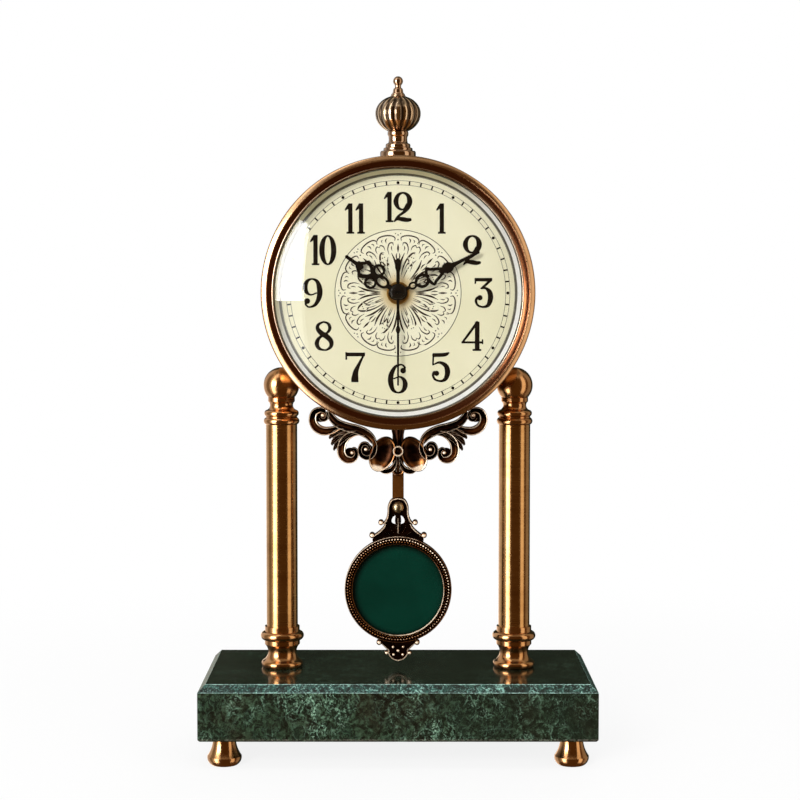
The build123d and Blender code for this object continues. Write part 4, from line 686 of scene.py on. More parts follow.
# Half of one of the rosette's equal fields: scalloped edge, acanthus leaves that open from the middle, curls
# and dots
rosette_fields = 8
field_box = (-11.6, 6.8, 11.6, 31.0)
field_pitch = 0.07
leaf_lines = [
    [(-9.9, 24.9, 0.25), (-10.6, 26.3, 0.42), (-9.6, 27.9, 0.5), (-6.6, 28.9, 0.55), (-3.4, 28.9, 0.5),
     (-1.6, 28.0, 0.42), (-1.7, 26.6, 0.25)],
    [(0.0, 20.5, 0.15), (0.0, 22.6, 0.75), (0.0, 24.8, 0.2)],
    [(-0.6, 8.6, 0.12), (-0.9, 12.5, 0.5), (-1.7, 16.6, 0.75), (-3.3, 20.2, 0.2)],
    [(-1.5, 8.2, 0.12), (-2.4, 12.4, 0.42), (-4.2, 16.6, 0.62), (-6.7, 19.6, 0.7), (-8.6, 20.6, 0.2)],
    [(-2.7, 7.6, 0.12), (-4.4, 11.2, 0.4), (-6.8, 14.4, 0.55), (-9.2, 16.4, 0.2)],
    [(-0.5, 16.6, 0.15), (-0.9, 18.6, 0.5), (-0.6, 20.2, 0.15)],
    [(-4.6, 19.6, 0.15), (-5.2, 22.4, 0.4), (-4.4, 25.0, 0.5), (-2.8, 25.4, 0.42), (-2.4, 24.2, 0.2)],
    [(-6.6, 21.6, 0.15), (-7.4, 23.4, 0.42), (-8.9, 24.0, 0.4), (-9.4, 22.9, 0.2)],
    [(-3.0, 21.4, 0.12), (-3.4, 22.8, 0.4), (-3.1, 23.9, 0.12)],
    [(-6.0, 25.2, 0.12), (-6.3, 26.6, 0.5), (-5.6, 27.6, 0.12)],
    [(-8.0, 25.2, 0.12), (-8.4, 26.2, 0.36), (-7.8, 26.9, 0.12)],
    [(-3.4, 12.0, 0.1), (-4.6, 14.6, 0.3), (-6.2, 16.8, 0.1)],
    [(-0.2, 9.0, 0.1), (-0.25, 11.5, 0.32), (0.0, 14.4, 0.1)],
]
leaf_dots = [(0.0, 27.0, 0.36), (-1.3, 30.1, 0.3), (0.0, 29.4, 0.34), (-5.3, 12.3, 0.3), (-7.9, 17.6, 0.3)]
line_weight = 1.3
bold_lines = [[(x, rise, width * line_weight) for x, rise, width in points] for points in leaf_lines]
field_shapes = paired(*bold_lines, count=60)
for x, rise, radius in leaf_dots:
    field_shapes += [disc(x, rise, radius), disc(-x, rise, radius)]
field_loops = contour(field_shapes, [], field_box, field_pitch)
rosette_loops = [turned_loop(loop, radians(360 / rosette_fields * number))
                 for number in range(rosette_fields) for loop in field_loops]
rosette = cut_sheet("dial_rosette", rosette_loops, dial_front, ink_height)
sepia = grained("sepia_ink", 0.6, 3, tone(30, 20, 12), tone(64, 46, 28), 0.45, 0.15, 0.35,
                Specular_IOR_Level=0.05)
finish_piece(rosette, sepia, "clock_frame", "hands")

# The angled ring between dial and glass is spun aluminium, lacquered silver. Its upper left is painted olive
# as painted shade from the bezel, and its two edges are painted dark as painted shade in the gaps at the dial
# and the lip. The nut that holds the movement to the dial is turned brass, and so is the pendulum's hanger.
silver = Surface("silver_ring", Metallic=0.2)
silver_x, silver_y, silver_z = silver.split(silver.place)
silver_lines = silver.noise(silver.join(0.0, silver_y, 0.0), 0.3, 3)
inner_start, outer_start, edge_blur = -22.0 * MM, -25.4 * MM, 0.2 * MM
# Dark bands at both edges of the ring: painted shade in the gaps at the dial and at the lip
inner_gap_shade = silver_y.rise(inner_start, inner_start + edge_blur)
outer_gap_shade = 1 - silver_y.rise(outer_start, outer_start + edge_blur)
silver_paint = silver.mix(silver_lines, tone(252, 252, 254), tone(242, 242, 248))
# Olive towards the upper left: painted shade where the bezel shadows the ring
shade_from, shade_to = 10.0 * MM, 45.0 * MM
upper_left_shade = (silver_z - axis_height - silver_x * 0.7).rise(shade_from, shade_to)
silver_paint = silver.mix(upper_left_shade * 0.8, silver_paint, tone(200, 186, 128))
silver.paint(Base_Color=silver.mix((inner_gap_shade + outer_gap_shade) * 0.95, silver_paint, tone(44, 34, 20)),
             Roughness=0.3 + silver_lines * 0.1)
dress(silver, "dial_ring")
brass = bronze("turned_brass", False, tone(222, 184, 108), tone(188, 142, 70), 0.2, 0.1)
dress(brass, "pendulum_hanger")
toned_brass = bronze("toned_brass", False, tone(176, 132, 70), tone(132, 92, 44), 0.24, 0.1)
dress(toned_brass, "dial_nut")

# The hands are stamped steel, pierced in loops and horns, lacquered black. Each is pressed on its own pipe;
# the second hand sits on the arbor under the domed cap.
lacquer = grained("black_lacquer", 0.7, 4, tone(6, 6, 7), tone(15, 14, 14), 0.3, 0.12, 0.4, 0.8,
                  Specular_IOR_Level=0.05, Coat_Weight=0.15, Coat_Roughness=0.06)
cap_foot = cad_mm(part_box("hand_cap")[1].y)
cap_line = [(4.2, 0.0), (4.2, 0.35), (4.1, 0.6), (3.85, 0.85), (3.4, 1.1), (2.8, 1.3), (2.1, 1.44),
            (1.3, 1.54), (0.6, 1.59), (0.02, 1.6), (0.02, 0.0)]
cap = spun("hand_cap_lacquered", [(radius, cap_foot - height) for radius, height in cap_line], count=64)
finish_piece(cap, lacquer, "second_train", "hands", "hand_cap")
hand_side = 8.0
hand_tail = 20.0
hand_margin = 2.0
hand_pitch = 0.09
hand_bevel = 0.08


def hand(node, body, bearing, reach, solid, holes):
    """Hand cut from sheet in the place and thickness of the CAD hand, turned clockwise from the top."""
    front, back = [cad_mm(corner.y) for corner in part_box(node)]
    loops = contour(solid, holes, (-hand_side, -hand_tail, hand_side, reach + hand_margin), hand_pitch)
    turned_loops = [turned_loop(loop, radians(bearing)) for loop in loops]
    piece = cut_sheet(node + "_lacquered", turned_loops, back, back - front, hand_bevel)
    finish_piece(piece, lacquer, body, "hands", node)


hand("hour_hand", "hour_train", 305.25, 32.5,
     [disc(0, 0, 4.7), disc(0, 9.8, 3.0, 4.0), disc(-3.8, 14.5, 3.25), disc(3.8, 14.5, 3.25),
      disc(0, 15.0, 2.2), stroke([(0, 23.0, 2.8), (0, 25.5, 2.1), (0, 28.0, 1.8), (0, 31.8, 1.7)]),
      stroke([(0, 3, 2.6), (0, 6.4, 2.2)])]
     + paired([(0.9, 16.6, 1.8), (2.9, 18.6, 1.7), (4.3, 21.0, 1.5), (2.9, 22.2, 1.6), (0.9, 24.6, 1.8)],
              [(3.4, 20.6, 1.8), (4.7, 21.3, 0.9)]),
     [disc(0, 0, 1.75), disc(0, 9.9, 1.7, 2.6), disc(-3.8, 14.4, 1.9), disc(3.8, 14.4, 1.9)])
hand("minute_hand", "minute_train", 63.0, 46.0,
     [disc(0, 0, 3.0), disc(0, 8.4, 2.0, 2.3), stroke([(0, 3, 2.0), (0, 6.4, 1.7)]), disc(0, 28.2, 2.7, 3.2),
      stroke([(0, 24.6, 2.6), (0, 27.0, 3.4), (0, 30.6, 2.8), (0, 34.0, 1.9), (0, 45.2, 1.8)])]
     + paired([(0.4, 10.2, 1.5), (2.6, 12.4, 1.6), (2.7, 15.0, 1.6), (1.0, 17.0, 1.6)],
              [(0.8, 16.8, 1.6), (2.8, 17.4, 1.6), (4.4, 18.5, 1.3), (3.3, 20.0, 1.6), (2.3, 22.4, 1.6),
               (0.9, 25.2, 1.7)]),
     [disc(0, 0, 0.9), disc(0, 8.4, 0.95, 1.2)])
hand("second_hand", "second_train", 180.0, 46.8,
     [disc(0, 0, 3.8), stroke([(0, -16.4, 2.4), (0, -15.0, 2.6), (0, -12.5, 1.9), (0, -2, 1.8)]),
      stroke([(0, 0, 1.5), (0, 20, 1.2), (0, 46.3, 0.9)], 300), disc(0, -13.4, 1.5, 2.4)],
     [disc(0, 0, 0.76)])

# The glass is a pressed dome of clear mineral glass, held by its flat rim behind the bezel's lip. It lets the
# lamps through without a shadow, and a little dust dulls it in places.
glass = Surface("clear_glass", Transmission_Weight=1.0, IOR=1.5, Base_Color=(0.985, 0.992, 0.988, 1.0))
dust = glass.noise(glass.place, 25, 4)
glass.paint(Roughness=dust.rise(0.55, 0.9) * 0.006)
passing = glass.node("ShaderNodeLightPath", output="Is Shadow Ray")
glass.blend(passing, glass.look, glass.node("ShaderNodeBsdfTransparent"))
dress(glass, "glass")

# The movement is a bought quartz unit: moulded black housing and back plate, a setting knob, a round cell in
# its bay, and inside it a small copper-wound motor and a plastic train. It hangs on the dial by its nut.
moulded = Surface("black_moulding", Coat_Weight=0.05)
moulded_grain = moulded.noise(moulded.place, 0.35, 3)
moulded_flow = moulded.noise(moulded.place, 20, 3)
moulded.paint(Base_Color=moulded.mix(moulded_flow.rise(0.3, 0.7), tone(24, 24, 25), tone(34, 34, 35)),
              Roughness=0.48 + moulded_grain * 0.15)
moulded.emboss(moulded_grain, 0.02)
dress(moulded, "movement_housing", "movement_cover", "set_knob")
cell = Surface("cell_sleeve", Coat_Weight=0.5, Coat_Roughness=0.1)
cell_along = cell.split(cell.place)[0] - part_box("battery")[0].x
band_start, cap_start = 30.0 * MM, 48.6 * MM
cell_band = cell_along.rise(band_start, band_start + 0.3 * MM)
cell_tip = cell_along.rise(cap_start, cap_start + 0.2 * MM)
cell_foil = cell.noise(cell.place, 1.2, 3)
sleeve = cell.mix(cell_band, tone(58, 66, 72), tone(150, 156, 160))
cell.paint(Base_Color=cell.mix(cell_tip, sleeve, tone(196, 196, 194)), Roughness=0.26 + cell_foil * 0.1,
           Metallic=0.2 + cell_tip * 0.8)
dress(cell, "battery")
nylon = grained("white_nylon", 0.5, 3, tone(226, 222, 210), tone(210, 206, 194), 0.42, 0.1)
dress(nylon, "rotor", "fifth_wheel", "second_wheel", "third_wheel", "centre_wheel", "cannon_pinion",
      "minute_wheel", "hour_wheel")
wound = Surface("copper_winding", Metallic=1.0)
turns = wound.node("ShaderNodeTexWave", {"wave_type": "BANDS", "bands_direction": "X"},
                   {"Vector": wound.place, "Scale": 1600.0, "Distortion": 0.4})
wound.paint(Base_Color=wound.mix(turns, tone(150, 72, 36), tone(214, 122, 72)), Roughness=0.26 + turns * 0.1)
wound.emboss(turns, 0.05)
dress(wound, "motor_coil", "drive_coil")
laminate = grained("green_laminate", 0.8, 3, tone(18, 74, 44), tone(30, 98, 60), 0.36, 0.1, 0.35,
                   Coat_Weight=0.4, Coat_Roughness=0.2)
dress(laminate, "circuit_board")
magnet = Surface("nickel_magnet", Metallic=1.0)
magnet_grain = magnet.noise(magnet.place, 0.7, 3)
magnet.paint(Base_Color=magnet.mix(magnet_grain, tone(150, 150, 150), tone(196, 196, 196)),
             Roughness=0.28 + magnet_grain * 0.1)
dress(magnet, "drive_magnet")

# The finial's melon is cast hollow with eighteen full round lobes, toned dark and polished back on their
# crowns. One screw holds it between a turned collar and a turned tip.
melon_low, melon_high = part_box("finial_melon")
melon_lobes = 18
melon_steps = 12
melon_rings = 40
lobe_depth = 0.042
crown_narrowing = 1.3
crown_falloff = 1.2
melon_top_cut = 0.93
melon_bottom_cut = 0.88
melon_half = (melon_high.z - melon_low.z) / 2
melon_reach = (melon_high.x - melon_low.x) / 2
melon_bronze = Surface("polished_melon", Metallic=1.0)
melon_crown = melon_bronze.node("ShaderNodeAttribute", {"attribute_name": "polish"}, None, "Fac")
melon_smear = melon_bronze.noise(melon_bronze.place, 2.0, 4, 0.6)
melon_bronze.paint(
    Base_Color=melon_bronze.mix(melon_crown * 0.9 + melon_smear * 0.1, tone(50, 32, 19), tone(244, 212, 176)),
    Roughness=0.16 - melon_crown * 0.06 + melon_smear * 0.06)
melon_mesh = bmesh.new()
melon_polish = melon_mesh.verts.layers.float.new("polish")
melon_rows = []
for ring in range(melon_rings + 1):
    lift = -1 + 2 * ring / melon_rings
    girth = (1 - (lift * (melon_top_cut if lift > 0 else melon_bottom_cut)) ** 2) ** 0.5
    row = []
    for number in range(melon_lobes * melon_steps):
        share = (number % melon_steps) / melon_steps * 2 - 1
        reach = melon_reach * girth * (1 - lobe_depth * share * share)
        angle = 2 * pi * (number + melon_steps / 2) / (melon_lobes * melon_steps)
        made = melon_mesh.verts.new((reach * sin(angle), -reach * cos(angle),
                                     (melon_low.z + melon_high.z) / 2 + melon_half * lift))
        made[melon_polish] = max(0.0, 1 - crown_narrowing * abs(share)) ** crown_falloff
        row.append(made)
    melon_rows.append(row)
bridge(melon_mesh, melon_rows, False)
melon_mesh.faces.new(melon_rows[0])
melon_mesh.faces.new(melon_rows[-1])
melon = closed_mesh("finial_melon_cast", melon_mesh, sharp=50)
finish_piece(melon, melon_bronze, "clock_frame", "cast_bronze", "finial_melon")

tip_low, tip_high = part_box("finial_tip")
tip_foot = tip_low.z / MM
tip_top = tip_high.z / MM
tip_ball = 2.55
tip_stem = [(0.02, 0.0), (3.9, 0.0), (3.92, 0.3), (3.72, 0.6), (3.5, 0.85), (3.45, 1.05), (3.52, 1.25),
            (3.4, 1.45), (3.0, 1.6), (2.76, 2.1), (2.6, 2.8), (2.48, 3.5), (2.36, 3.95), (2.1, 4.25),
            (1.72, 4.45), (1.58, 4.9), (1.56, 5.6)]
tip_line = [(radius, tip_foot + rise) for radius, rise in tip_stem]
tip_line += [(tip_ball * cos(radians(angle)), tip_top - tip_ball + tip_ball * sin(radians(angle)))
             for angle in range(-50, 90, 10)]
tip_line.append((0.02, tip_top))
tip = spun("finial_tip_turned", tip_line, count=72, upright=True)
finish_piece(tip, finial_bronze, "clock_frame", "bronze", "finial_tip")
collar_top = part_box("finial_collar")[1].z / MM
collar_line = [(0.02, -15.3), (9.1, -15.3), (9.2, -14.2), (9.2, -11.3), (9.08, -10.75), (8.7, -10.4),
               (8.1, -10.3), (7.62, -10.22), (7.48, -9.95), (7.52, -9.3), (7.38, -8.9), (7.0, -8.72),
               (6.6, -8.66), (6.36, -8.4), (6.4, -7.5), (6.26, -6.9), (5.85, -6.55), (5.3, -6.42),
               (4.98, -6.1), (4.82, -5.2), (4.76, -4.2), (4.84, -3.2), (5.02, -2.7), (5.28, -2.4),
               (5.38, -1.8), (5.38, -1.0), (5.24, -0.4), (4.9, 0.0), (0.02, 0.0)]
collar_line = [(radius, collar_top + rise) for radius, rise in collar_line]
collar = spun("finial_collar_turned", collar_line, count=96, upright=True)
finish_piece(collar, finial_bronze, "clock_frame", "bronze", "finial_collar")

# The crest under the drum is one open casting of volutes, C-scrolls, acanthus leaves and two cupped petals.
# It is toned nearly black and rubbed through to copper along every raised edge, and the palest, nearly matt
# crests are painted highlights as well. Screws hold it from inside.
cast = Surface("rubbed_casting", Metallic=1.0)
polish = cast.node("ShaderNodeAttribute", {"attribute_name": "polish"}, None, "Fac")
pits = cast.noise(cast.place, 0.45, 4, 0.6)
stain = cast.noise(cast.place, 3.0, 4, 0.6)
rubbed = polish + (stain - 0.5) * 0.3
worn = rubbed.rise(0.25, 0.65)
# The most rubbed crests turn a pale, nearly matt cream: worn metal and a painted highlight in one
bare_and_glint = rubbed.rise(0.72, 1.0)
cast_dark = cast.mix(stain.rise(0.35, 0.7), tone(26, 13, 8), tone(54, 30, 17))
cast_copper = cast.mix(stain.rise(0.3, 0.75), tone(158, 104, 58), tone(116, 70, 37))
cast_tone = cast.mix(bare_and_glint, cast.mix(worn, cast_dark, cast_copper), tone(255, 232, 202))
cast.paint(Base_Color=cast_tone, Roughness=0.3 - bare_and_glint * 0.08 + pits * 0.1, Metallic=1 - bare_and_glint * 0.75)
cast.emboss(pits, 0.02)



def whole(half):
    """Section made of the half up to its middle and the mirror image of that half."""
    return half + [(-share, tall, shine) for share, tall, shine in half[-2::-1]]


# Cross-sections as (share of half width, share of height, polish), from one back edge to the middle
channel = whole([(-1.0, 0.0, 0.0), (-1.0, 0.5, 0.05), (-0.95, 0.82, 0.25), (-0.86, 1.0, 0.9),
                 (-0.72, 0.97, 0.9), (-0.6, 0.74, 0.25), (-0.42, 0.52, 0.0), (0.0, 0.44, 0.0)])
half_round = whole([(-1.0, 0.0, 0.1), (-1.0, 0.4, 0.15), (-0.85, 0.72, 0.4), (-0.5, 0.93, 0.8),
                    (0.0, 1.0, 1.0)])
veined_leaf = whole([(-1.0, 0.0, 0.2), (-1.0, 0.55, 0.7), (-0.86, 0.74, 1.0), (-0.68, 0.64, 0.5),
                     (-0.34, 0.62, 0.0), (-0.14, 0.78, 0.2), (0.0, 1.0, 0.9)])
ridged = whole([(-1.0, 0.0, 0.0), (-1.0, 0.5, 0.05), (-0.95, 0.72, 0.25), (-0.87, 0.8, 1.0),
                (-0.76, 0.76, 0.9), (-0.64, 0.58, 0.0), (-0.45, 0.76, 0.0), (-0.2, 0.96, 0.25),
                (0.0, 1.0, 0.4)])


class Casting:
    """A cast piece being put together from bands, cups, balls and rings on a flat back."""

    def __init__(self, back, middle=0.0):
        self.mesh = bmesh.new()
        self.polish = self.mesh.verts.layers.float.new("polish")
        self.back = back
        self.middle = middle

    def vertex(self, x, rise, height, polish):
        made = self.mesh.verts.new((x * MM, (self.back - height) * MM, (self.middle + rise) * MM))
        made[self.polish] = polish
        return made

    def band(self, points, section, sides=(1, -1), count=44):
        """Band along (x, rise, width, height, least polish) points, on both sides of the middle."""
        line = smooth_line(points, count)
        course = np.gradient(line[:, :2], axis=0)
        course /= np.linalg.norm(course, axis=1)[:, None]
        for side in sides:
            rows = []
            for (x, rise, width, height, glow), (along_x, along_rise) in zip(line, course):
                rows.append([self.vertex(side * (x - along_rise * share * width / 2),
                                         rise + along_x * share * width / 2, height * tall, max(shine, glow))
                             for share, tall, shine in section])
            bridge(self.mesh, rows, False)
            self.mesh.faces.new(rows[0])
            self.mesh.faces.new(rows[-1])

    def turned(self, x, rise, section, half_width=1.0, half_height=1.0, lean=0.0, count=28, sides=(1, -1),
               lit=(), painted_light_side=None):
        """Shape turned about a point from (radius, height, polish) points, drawn out to an oval and leaned.

        The inner wall of a cup gets a painted highlight towards each lit bearing (in degrees, with a
        strength); the light side (bearing, least share) fades the polish round the shape away from that
        bearing, as painted light and shade.
        """
        for side in sides:
            rows = []
            for number in range(count):
                angle = 2 * pi * number / count
                row = []
                for radius, height, shine in section:
                    out = radius * half_width * cos(angle)
                    up = radius * half_height * sin(angle)
                    if painted_light_side:
                        shine *= painted_light_side[1] + (1 - painted_light_side[1]) * (0.5 + 0.5 * cos(angle - radians(painted_light_side[0])))
                    for bearing, strength in lit:
                        if 0.3 < radius < 0.9:
                            towards = max(0.0, cos(angle - radians(bearing))) ** 1.5
                            shine = max(shine, strength * towards * (radius - 0.15))
                    row.append(self.vertex(side * (x + out * cos(lean) - up * sin(lean)),
                                           rise + out * sin(lean) + up * cos(lean), height, shine))
                rows.append(row)
            bridge(self.mesh, rows, True, loops=False)
            if section[0][0] > 0 and section[0] != section[-1]:
                self.mesh.faces.new([row[0] for row in rows])

    def ball(self, x, rise, radius, height, sides=(1, -1)):
        steps = [(radius, 0.0, 0.1)]
        steps += [(radius * cos(radians(angle)), max(height - radius, 0.2) + radius * sin(radians(angle)),
                   0.2 + 0.8 * sin(radians(angle))) for angle in range(0, 89, 11)]
        steps.append((0.02, max(height - radius, 0.2) + radius, 1.0))
        self.turned(x, rise, steps, count=20, sides=sides)

    def finish(self, name):
        bmesh.ops.remove_doubles(self.mesh, verts=self.mesh.verts, dist=1e-6)
        return closed_mesh(name, self.mesh, sharp=48)


crest_back = -5.0
crest = Casting(crest_back)
web = [(1.0, 0.0, 0.0), (1.0, 1.5, 0.0), (0.9, 1.9, 0.0), (0.002, 1.9, 0.0)]
# The least polish raised along this volute's lower curl paints a gold highlight there
crest.band([(30.4, 169.0, 2.4, 3.6, 0.1), (34.4, 167.4, 3.8, 4.2, 0.35), (38.8, 167.0, 4.6, 4.6, 0.62),
            (42.4, 168.9, 4.6, 4.8, 0.68), (44.2, 172.6, 4.2, 4.8, 0.5), (43.4, 176.4, 3.6, 4.6, 0.05),
            (40.6, 178.0, 3.0, 4.4, 0.0), (37.8, 177.4, 2.6, 4.2, 0.0), (36.6, 175.2, 2.3, 4.0, 0.0),
            (37.4, 173.2, 2.0, 3.8, 0.0), (39.2, 172.8, 1.8, 3.6, 0.0), (40.4, 174.0, 1.4, 3.4, 0.0)],
           channel, count=70)
crest.turned(40.2, 174.8, web, 3.8, 3.2)
crest.ball(38.9, 175.3, 1.3, 4.6)
crest.band([(36.4, 177.6, 2.8, 3.4, 0.0), (34.4, 174.0, 3.8, 3.8, 0.0), (31.2, 170.9, 4.4, 4.2, 0.0),
            (26.4, 169.0, 4.7, 4.6, 0.05), (20.6, 167.5, 4.8, 4.8, 0.3), (15.8, 165.1, 4.6, 4.9, 0.42),
            (13.0, 162.0, 3.6, 4.9, 0.5), (12.2, 159.8, 2.0, 4.4, 0.5)], ridged, count=54)
# The least polish raised along this C-scroll's lower curl paints a gold highlight there
crest.band([(17.0, 165.2, 1.6, 3.8, 0.0), (21.2, 166.0, 2.8, 4.2, 0.0), (25.4, 164.7, 3.8, 4.4, 0.05),
            (28.4, 161.6, 4.4, 4.6, 0.1), (29.4, 157.8, 4.6, 4.6, 0.45), (28.9, 154.6, 4.5, 4.6, 0.66),
            (26.6, 152.4, 4.2, 4.6, 0.72), (23.6, 152.2, 3.4, 4.4, 0.62), (21.8, 153.9, 2.6, 4.2, 0.1),
            (21.6, 156.3, 2.2, 4.0, 0.0), (22.8, 157.7, 1.8, 3.8, 0.0), (24.3, 157.1, 1.3, 3.6, 0.0)],
           channel, count=70)
crest.turned(24.8, 155.4, web, 3.2, 2.8)
crest.ball(23.8, 155.9, 1.2, 4.6)
crest.band([(13.2, 163.0, 1.6, 4.8, 0.2), (12.1, 160.2, 2.4, 5.0, 0.1), (12.2, 157.0, 2.6, 5.0, 0.1),
            (13.7, 154.2, 2.6, 5.0, 0.2), (16.4, 153.3, 2.6, 5.0, 0.3), (19.0, 154.7, 2.4, 5.0, 0.2),
            (19.8, 157.6, 2.2, 4.9, 0.1), (18.5, 160.2, 2.0, 4.8, 0.1), (16.2, 160.4, 1.7, 4.7, 0.0),
            (14.9, 158.7, 1.4, 4.6, 0.0), (15.5, 157.2, 1.1, 4.4, 0.0)], channel, count=60)
crest.turned(16.2, 157.0, web, 3.4, 3.2)
crest.ball(16.7, 157.6, 1.2, 4.9)
for leaf in ([(22.0, 167.4, 2.0, 3.6, 0.0), (28.0, 167.0, 3.2, 4.2, 0.0), (32.6, 165.8, 3.2, 4.2, 0.1),
              (35.0, 163.9, 1.8, 3.6, 0.3), (35.3, 162.8, 0.6, 2.8, 0.6)],
             [(23.2, 166.4, 2.2, 3.8, 0.0), (28.6, 165.0, 3.2, 4.4, 0.0), (32.2, 162.9, 3.0, 4.4, 0.1),
              (34.0, 160.6, 1.8, 3.6, 0.3), (34.1, 159.5, 0.6, 2.8, 0.6)],
             [(25.0, 165.0, 2.2, 4.0, 0.0), (28.9, 162.6, 3.0, 4.6, 0.0), (31.6, 160.0, 2.8, 4.6, 0.1),
              (33.0, 157.8, 1.5, 3.6, 0.3), (33.1, 156.8, 0.6, 2.8, 0.6)]):
    crest.band(leaf, veined_leaf, count=34)
petal = [(1.0, 0.0, 0.0), (1.0, 3.0, 0.1), (0.985, 4.1, 0.3), (0.95, 4.6, 1.0), (0.905, 4.5, 0.9),
         (0.84, 3.8, 0.1), (0.7, 2.8, 0.0), (0.5, 2.1, 0.0), (0.26, 1.8, 0.0), (0.002, 1.7, 0.0)]
# Painted highlights on the petals' inner walls towards the bottom and the top, and polish fading away from
# the bottom: painted light and shade
crest.turned(8.2, 155.0, petal, 6.4, 9.5, radians(24), 64, lit=((-95, 1.65), (70, 0.9)), painted_light_side=(-100, 0.55))
crest.band([(0.9, 152.0, 1.2, 4.6, 0.1), (1.8, 149.2, 2.2, 4.4, 0.2), (3.9, 146.8, 3.0, 4.2, 0.3),
            (7.2, 146.2, 2.8, 3.8, 0.3), (10.2, 147.8, 1.2, 3.2, 0.5)], channel, count=36)
drop = [(1.0, 0.0, 0.1), (1.0, 2.4, 0.4), (0.85, 3.2, 0.8), (0.6, 2.8, 0.2), (0.002, 2.6, 0.1)]
crest.turned(0.0, 146.7, drop, 3.4, 2.9, count=32, sides=(1,))
crest.band([(0.0, 153.4, 1.8, 4.0, 0.0), (0.0, 150.4, 2.4, 4.2, 0.1), (0.0, 147.4, 2.6, 4.0, 0.2),
            (0.0, 145.2, 1.6, 3.4, 0.3)], ridged, (1,), 22)
eye = [(2.9, 0.0, 0.1), (2.9, 3.6, 0.3), (2.75, 4.6, 0.9), (2.35, 5.0, 1.0), (1.9, 4.6, 0.8), (1.6, 3.6, 0.2),
       (1.0, 3.2, 0.0), (0.02, 3.6, 0.3)]
crest.turned(0.0, 156.7, eye, count=36, sides=(1,))
crest.band([(0.0, 158.6, 5.2, 2.6, 0.0), (0.0, 162.0, 4.8, 2.8, 0.0), (0.0, 164.4, 5.6, 2.8, 0.0),
            (0.0, 167.4, 6.8, 2.6, 0.0), (0.0, 170.0, 6.8, 2.2, 0.0)],
           [(share, tall, 0.1 * shine) for share, tall, shine in ridged], (1,), 26)
crest_piece = crest.finish("crest_casting")
finish_piece(crest_piece, cast, "clock_frame", "cast_bronze", "scroll_crest")

# The pendulum rod is a flat strip of brushed brass, riveted to the hanger above and, under a domed rivet, to
# the plate of the bob. The bob is a cast ring with beads, an arched plate and a drop, and a green enamelled
# disc shows through it.
strip = bronze("brushed_strip", True, tone(150, 96, 44), tone(118, 72, 30), 0.36, 0.16)
dress(strip, "pendulum_rod", "bob_back_plate")
rivet = bronze("rivet_brass", True, tone(176, 158, 126), tone(128, 110, 82), 0.26, 0.08)
dress(rivet, "pendulum_rivets")
enamel = Surface("green_enamel", Specular_IOR_Level=0.15)
enamel_drift = enamel.noise(enamel.place, 30, 3)
enamel_grain = enamel.noise(enamel.place, 0.9, 4)
# A darker crescent inside the ring's upper left: painted shadow of the ring's lip on the enamel
shadow_side, shadow_height = 1.0 * MM, 82.9 * MM
shadow_inner, shadow_outer = 20.5 * MM, 24.2 * MM
lip_shadow = enamel.reach(shadow_side, shadow_height)
enamel_green = enamel.mix(enamel_drift.rise(0.3, 0.7), tone(1, 38, 27), tone(2, 46, 34))
enamel.paint(Base_Color=enamel.mix(lip_shadow.rise(shadow_inner, shadow_outer) * 0.9, enamel_green, tone(1, 10, 7)),
             Roughness=0.2 + enamel_grain * 0.06)
enamel.emboss(enamel_grain, 0.006)
dress(enamel, "bob_insert")

bob_height = (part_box("bob_insert")[0].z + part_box("bob_insert")[1].z) / 2 / MM
bob_back = 0.6
bob = Casting(bob_back, bob_height)
rim_section = [(25.1, 0.0, 0.0), (27.95, 0.0, 0.0), (27.95, 4.1, 0.4), (27.92, 4.6, 0.9), (27.7, 4.9, 1.0),
               (27.44, 4.7, 0.5), (27.3, 4.0, 0.0), (27.1, 3.9, 0.0), (25.1, 3.9, 0.0), (25.1, 0.0, 0.0)]
lip_section = [(23.55, 3.3, 0.0), (25.2, 3.3, 0.0), (24.6, 4.2, 0.0), (24.45, 5.4, 0.0), (24.28, 6.1, 0.3),
               (24.02, 6.4, 0.9), (23.78, 6.2, 1.0), (23.62, 5.6, 0.9), (23.56, 4.8, 0.5), (23.55, 3.3, 0.0)]
# The rim's polish fades away from the upper left and the lip's away from the lower right: painted light and
# shade round the ring
bob.turned(0.0, 0.0, rim_section, count=144, sides=(1,), painted_light_side=(150, 0.7))
bob.turned(0.0, 0.0, lip_section, count=144, sides=(1,), painted_light_side=(-45, 0.55))
bead_count = 108
bead_seat = 3.95
bead_stretch = 1.4
for bead_circle, bead_size, bead_shine, shift in ((26.35, 0.66, 1.0, 0.0), (25.05, 0.56, 0.72, 0.5)):
    for number in range(bead_count):
        turn = 2 * pi * (number + shift) / bead_count
        bead_glow = bead_shine * (0.9 + 0.1 * sin(turn + 0.9))
        dome = [(bead_size * cos(radians(angle)), bead_seat + bead_size * bead_stretch * sin(radians(angle)),
                 bead_glow * (0.1 + 0.9 * sin(radians(angle)))) for angle in (0, 25, 48, 68)]
        dome.append((0.01, bead_seat + bead_size * bead_stretch, bead_glow))
        bob.turned(bead_circle * cos(turn), bead_circle * sin(turn), dome, count=10, sides=(1,))
bob.band([(0.0, 47.7, 1.2, 4.7, 0.0), (3.1, 46.8, 1.2, 4.7, 0.0), (4.8, 43.6, 1.2, 4.7, 0.0),
          (5.0, 40.0, 1.2, 4.7, 0.0), (5.6, 37.2, 1.2, 4.7, 0.0), (6.9, 35.1, 1.2, 4.7, 0.0),
          (8.4, 34.3, 1.1, 4.6, 0.0)], half_round, count=40)
bob.band([(6.4, 34.4, 1.1, 4.4, 0.0), (7.2, 32.6, 1.2, 4.5, 0.0), (8.8, 30.8, 1.2, 4.6, 0.0),
          (10.8, 29.2, 1.2, 4.6, 0.0), (13.0, 27.7, 1.1, 4.5, 0.0)], half_round, count=32)
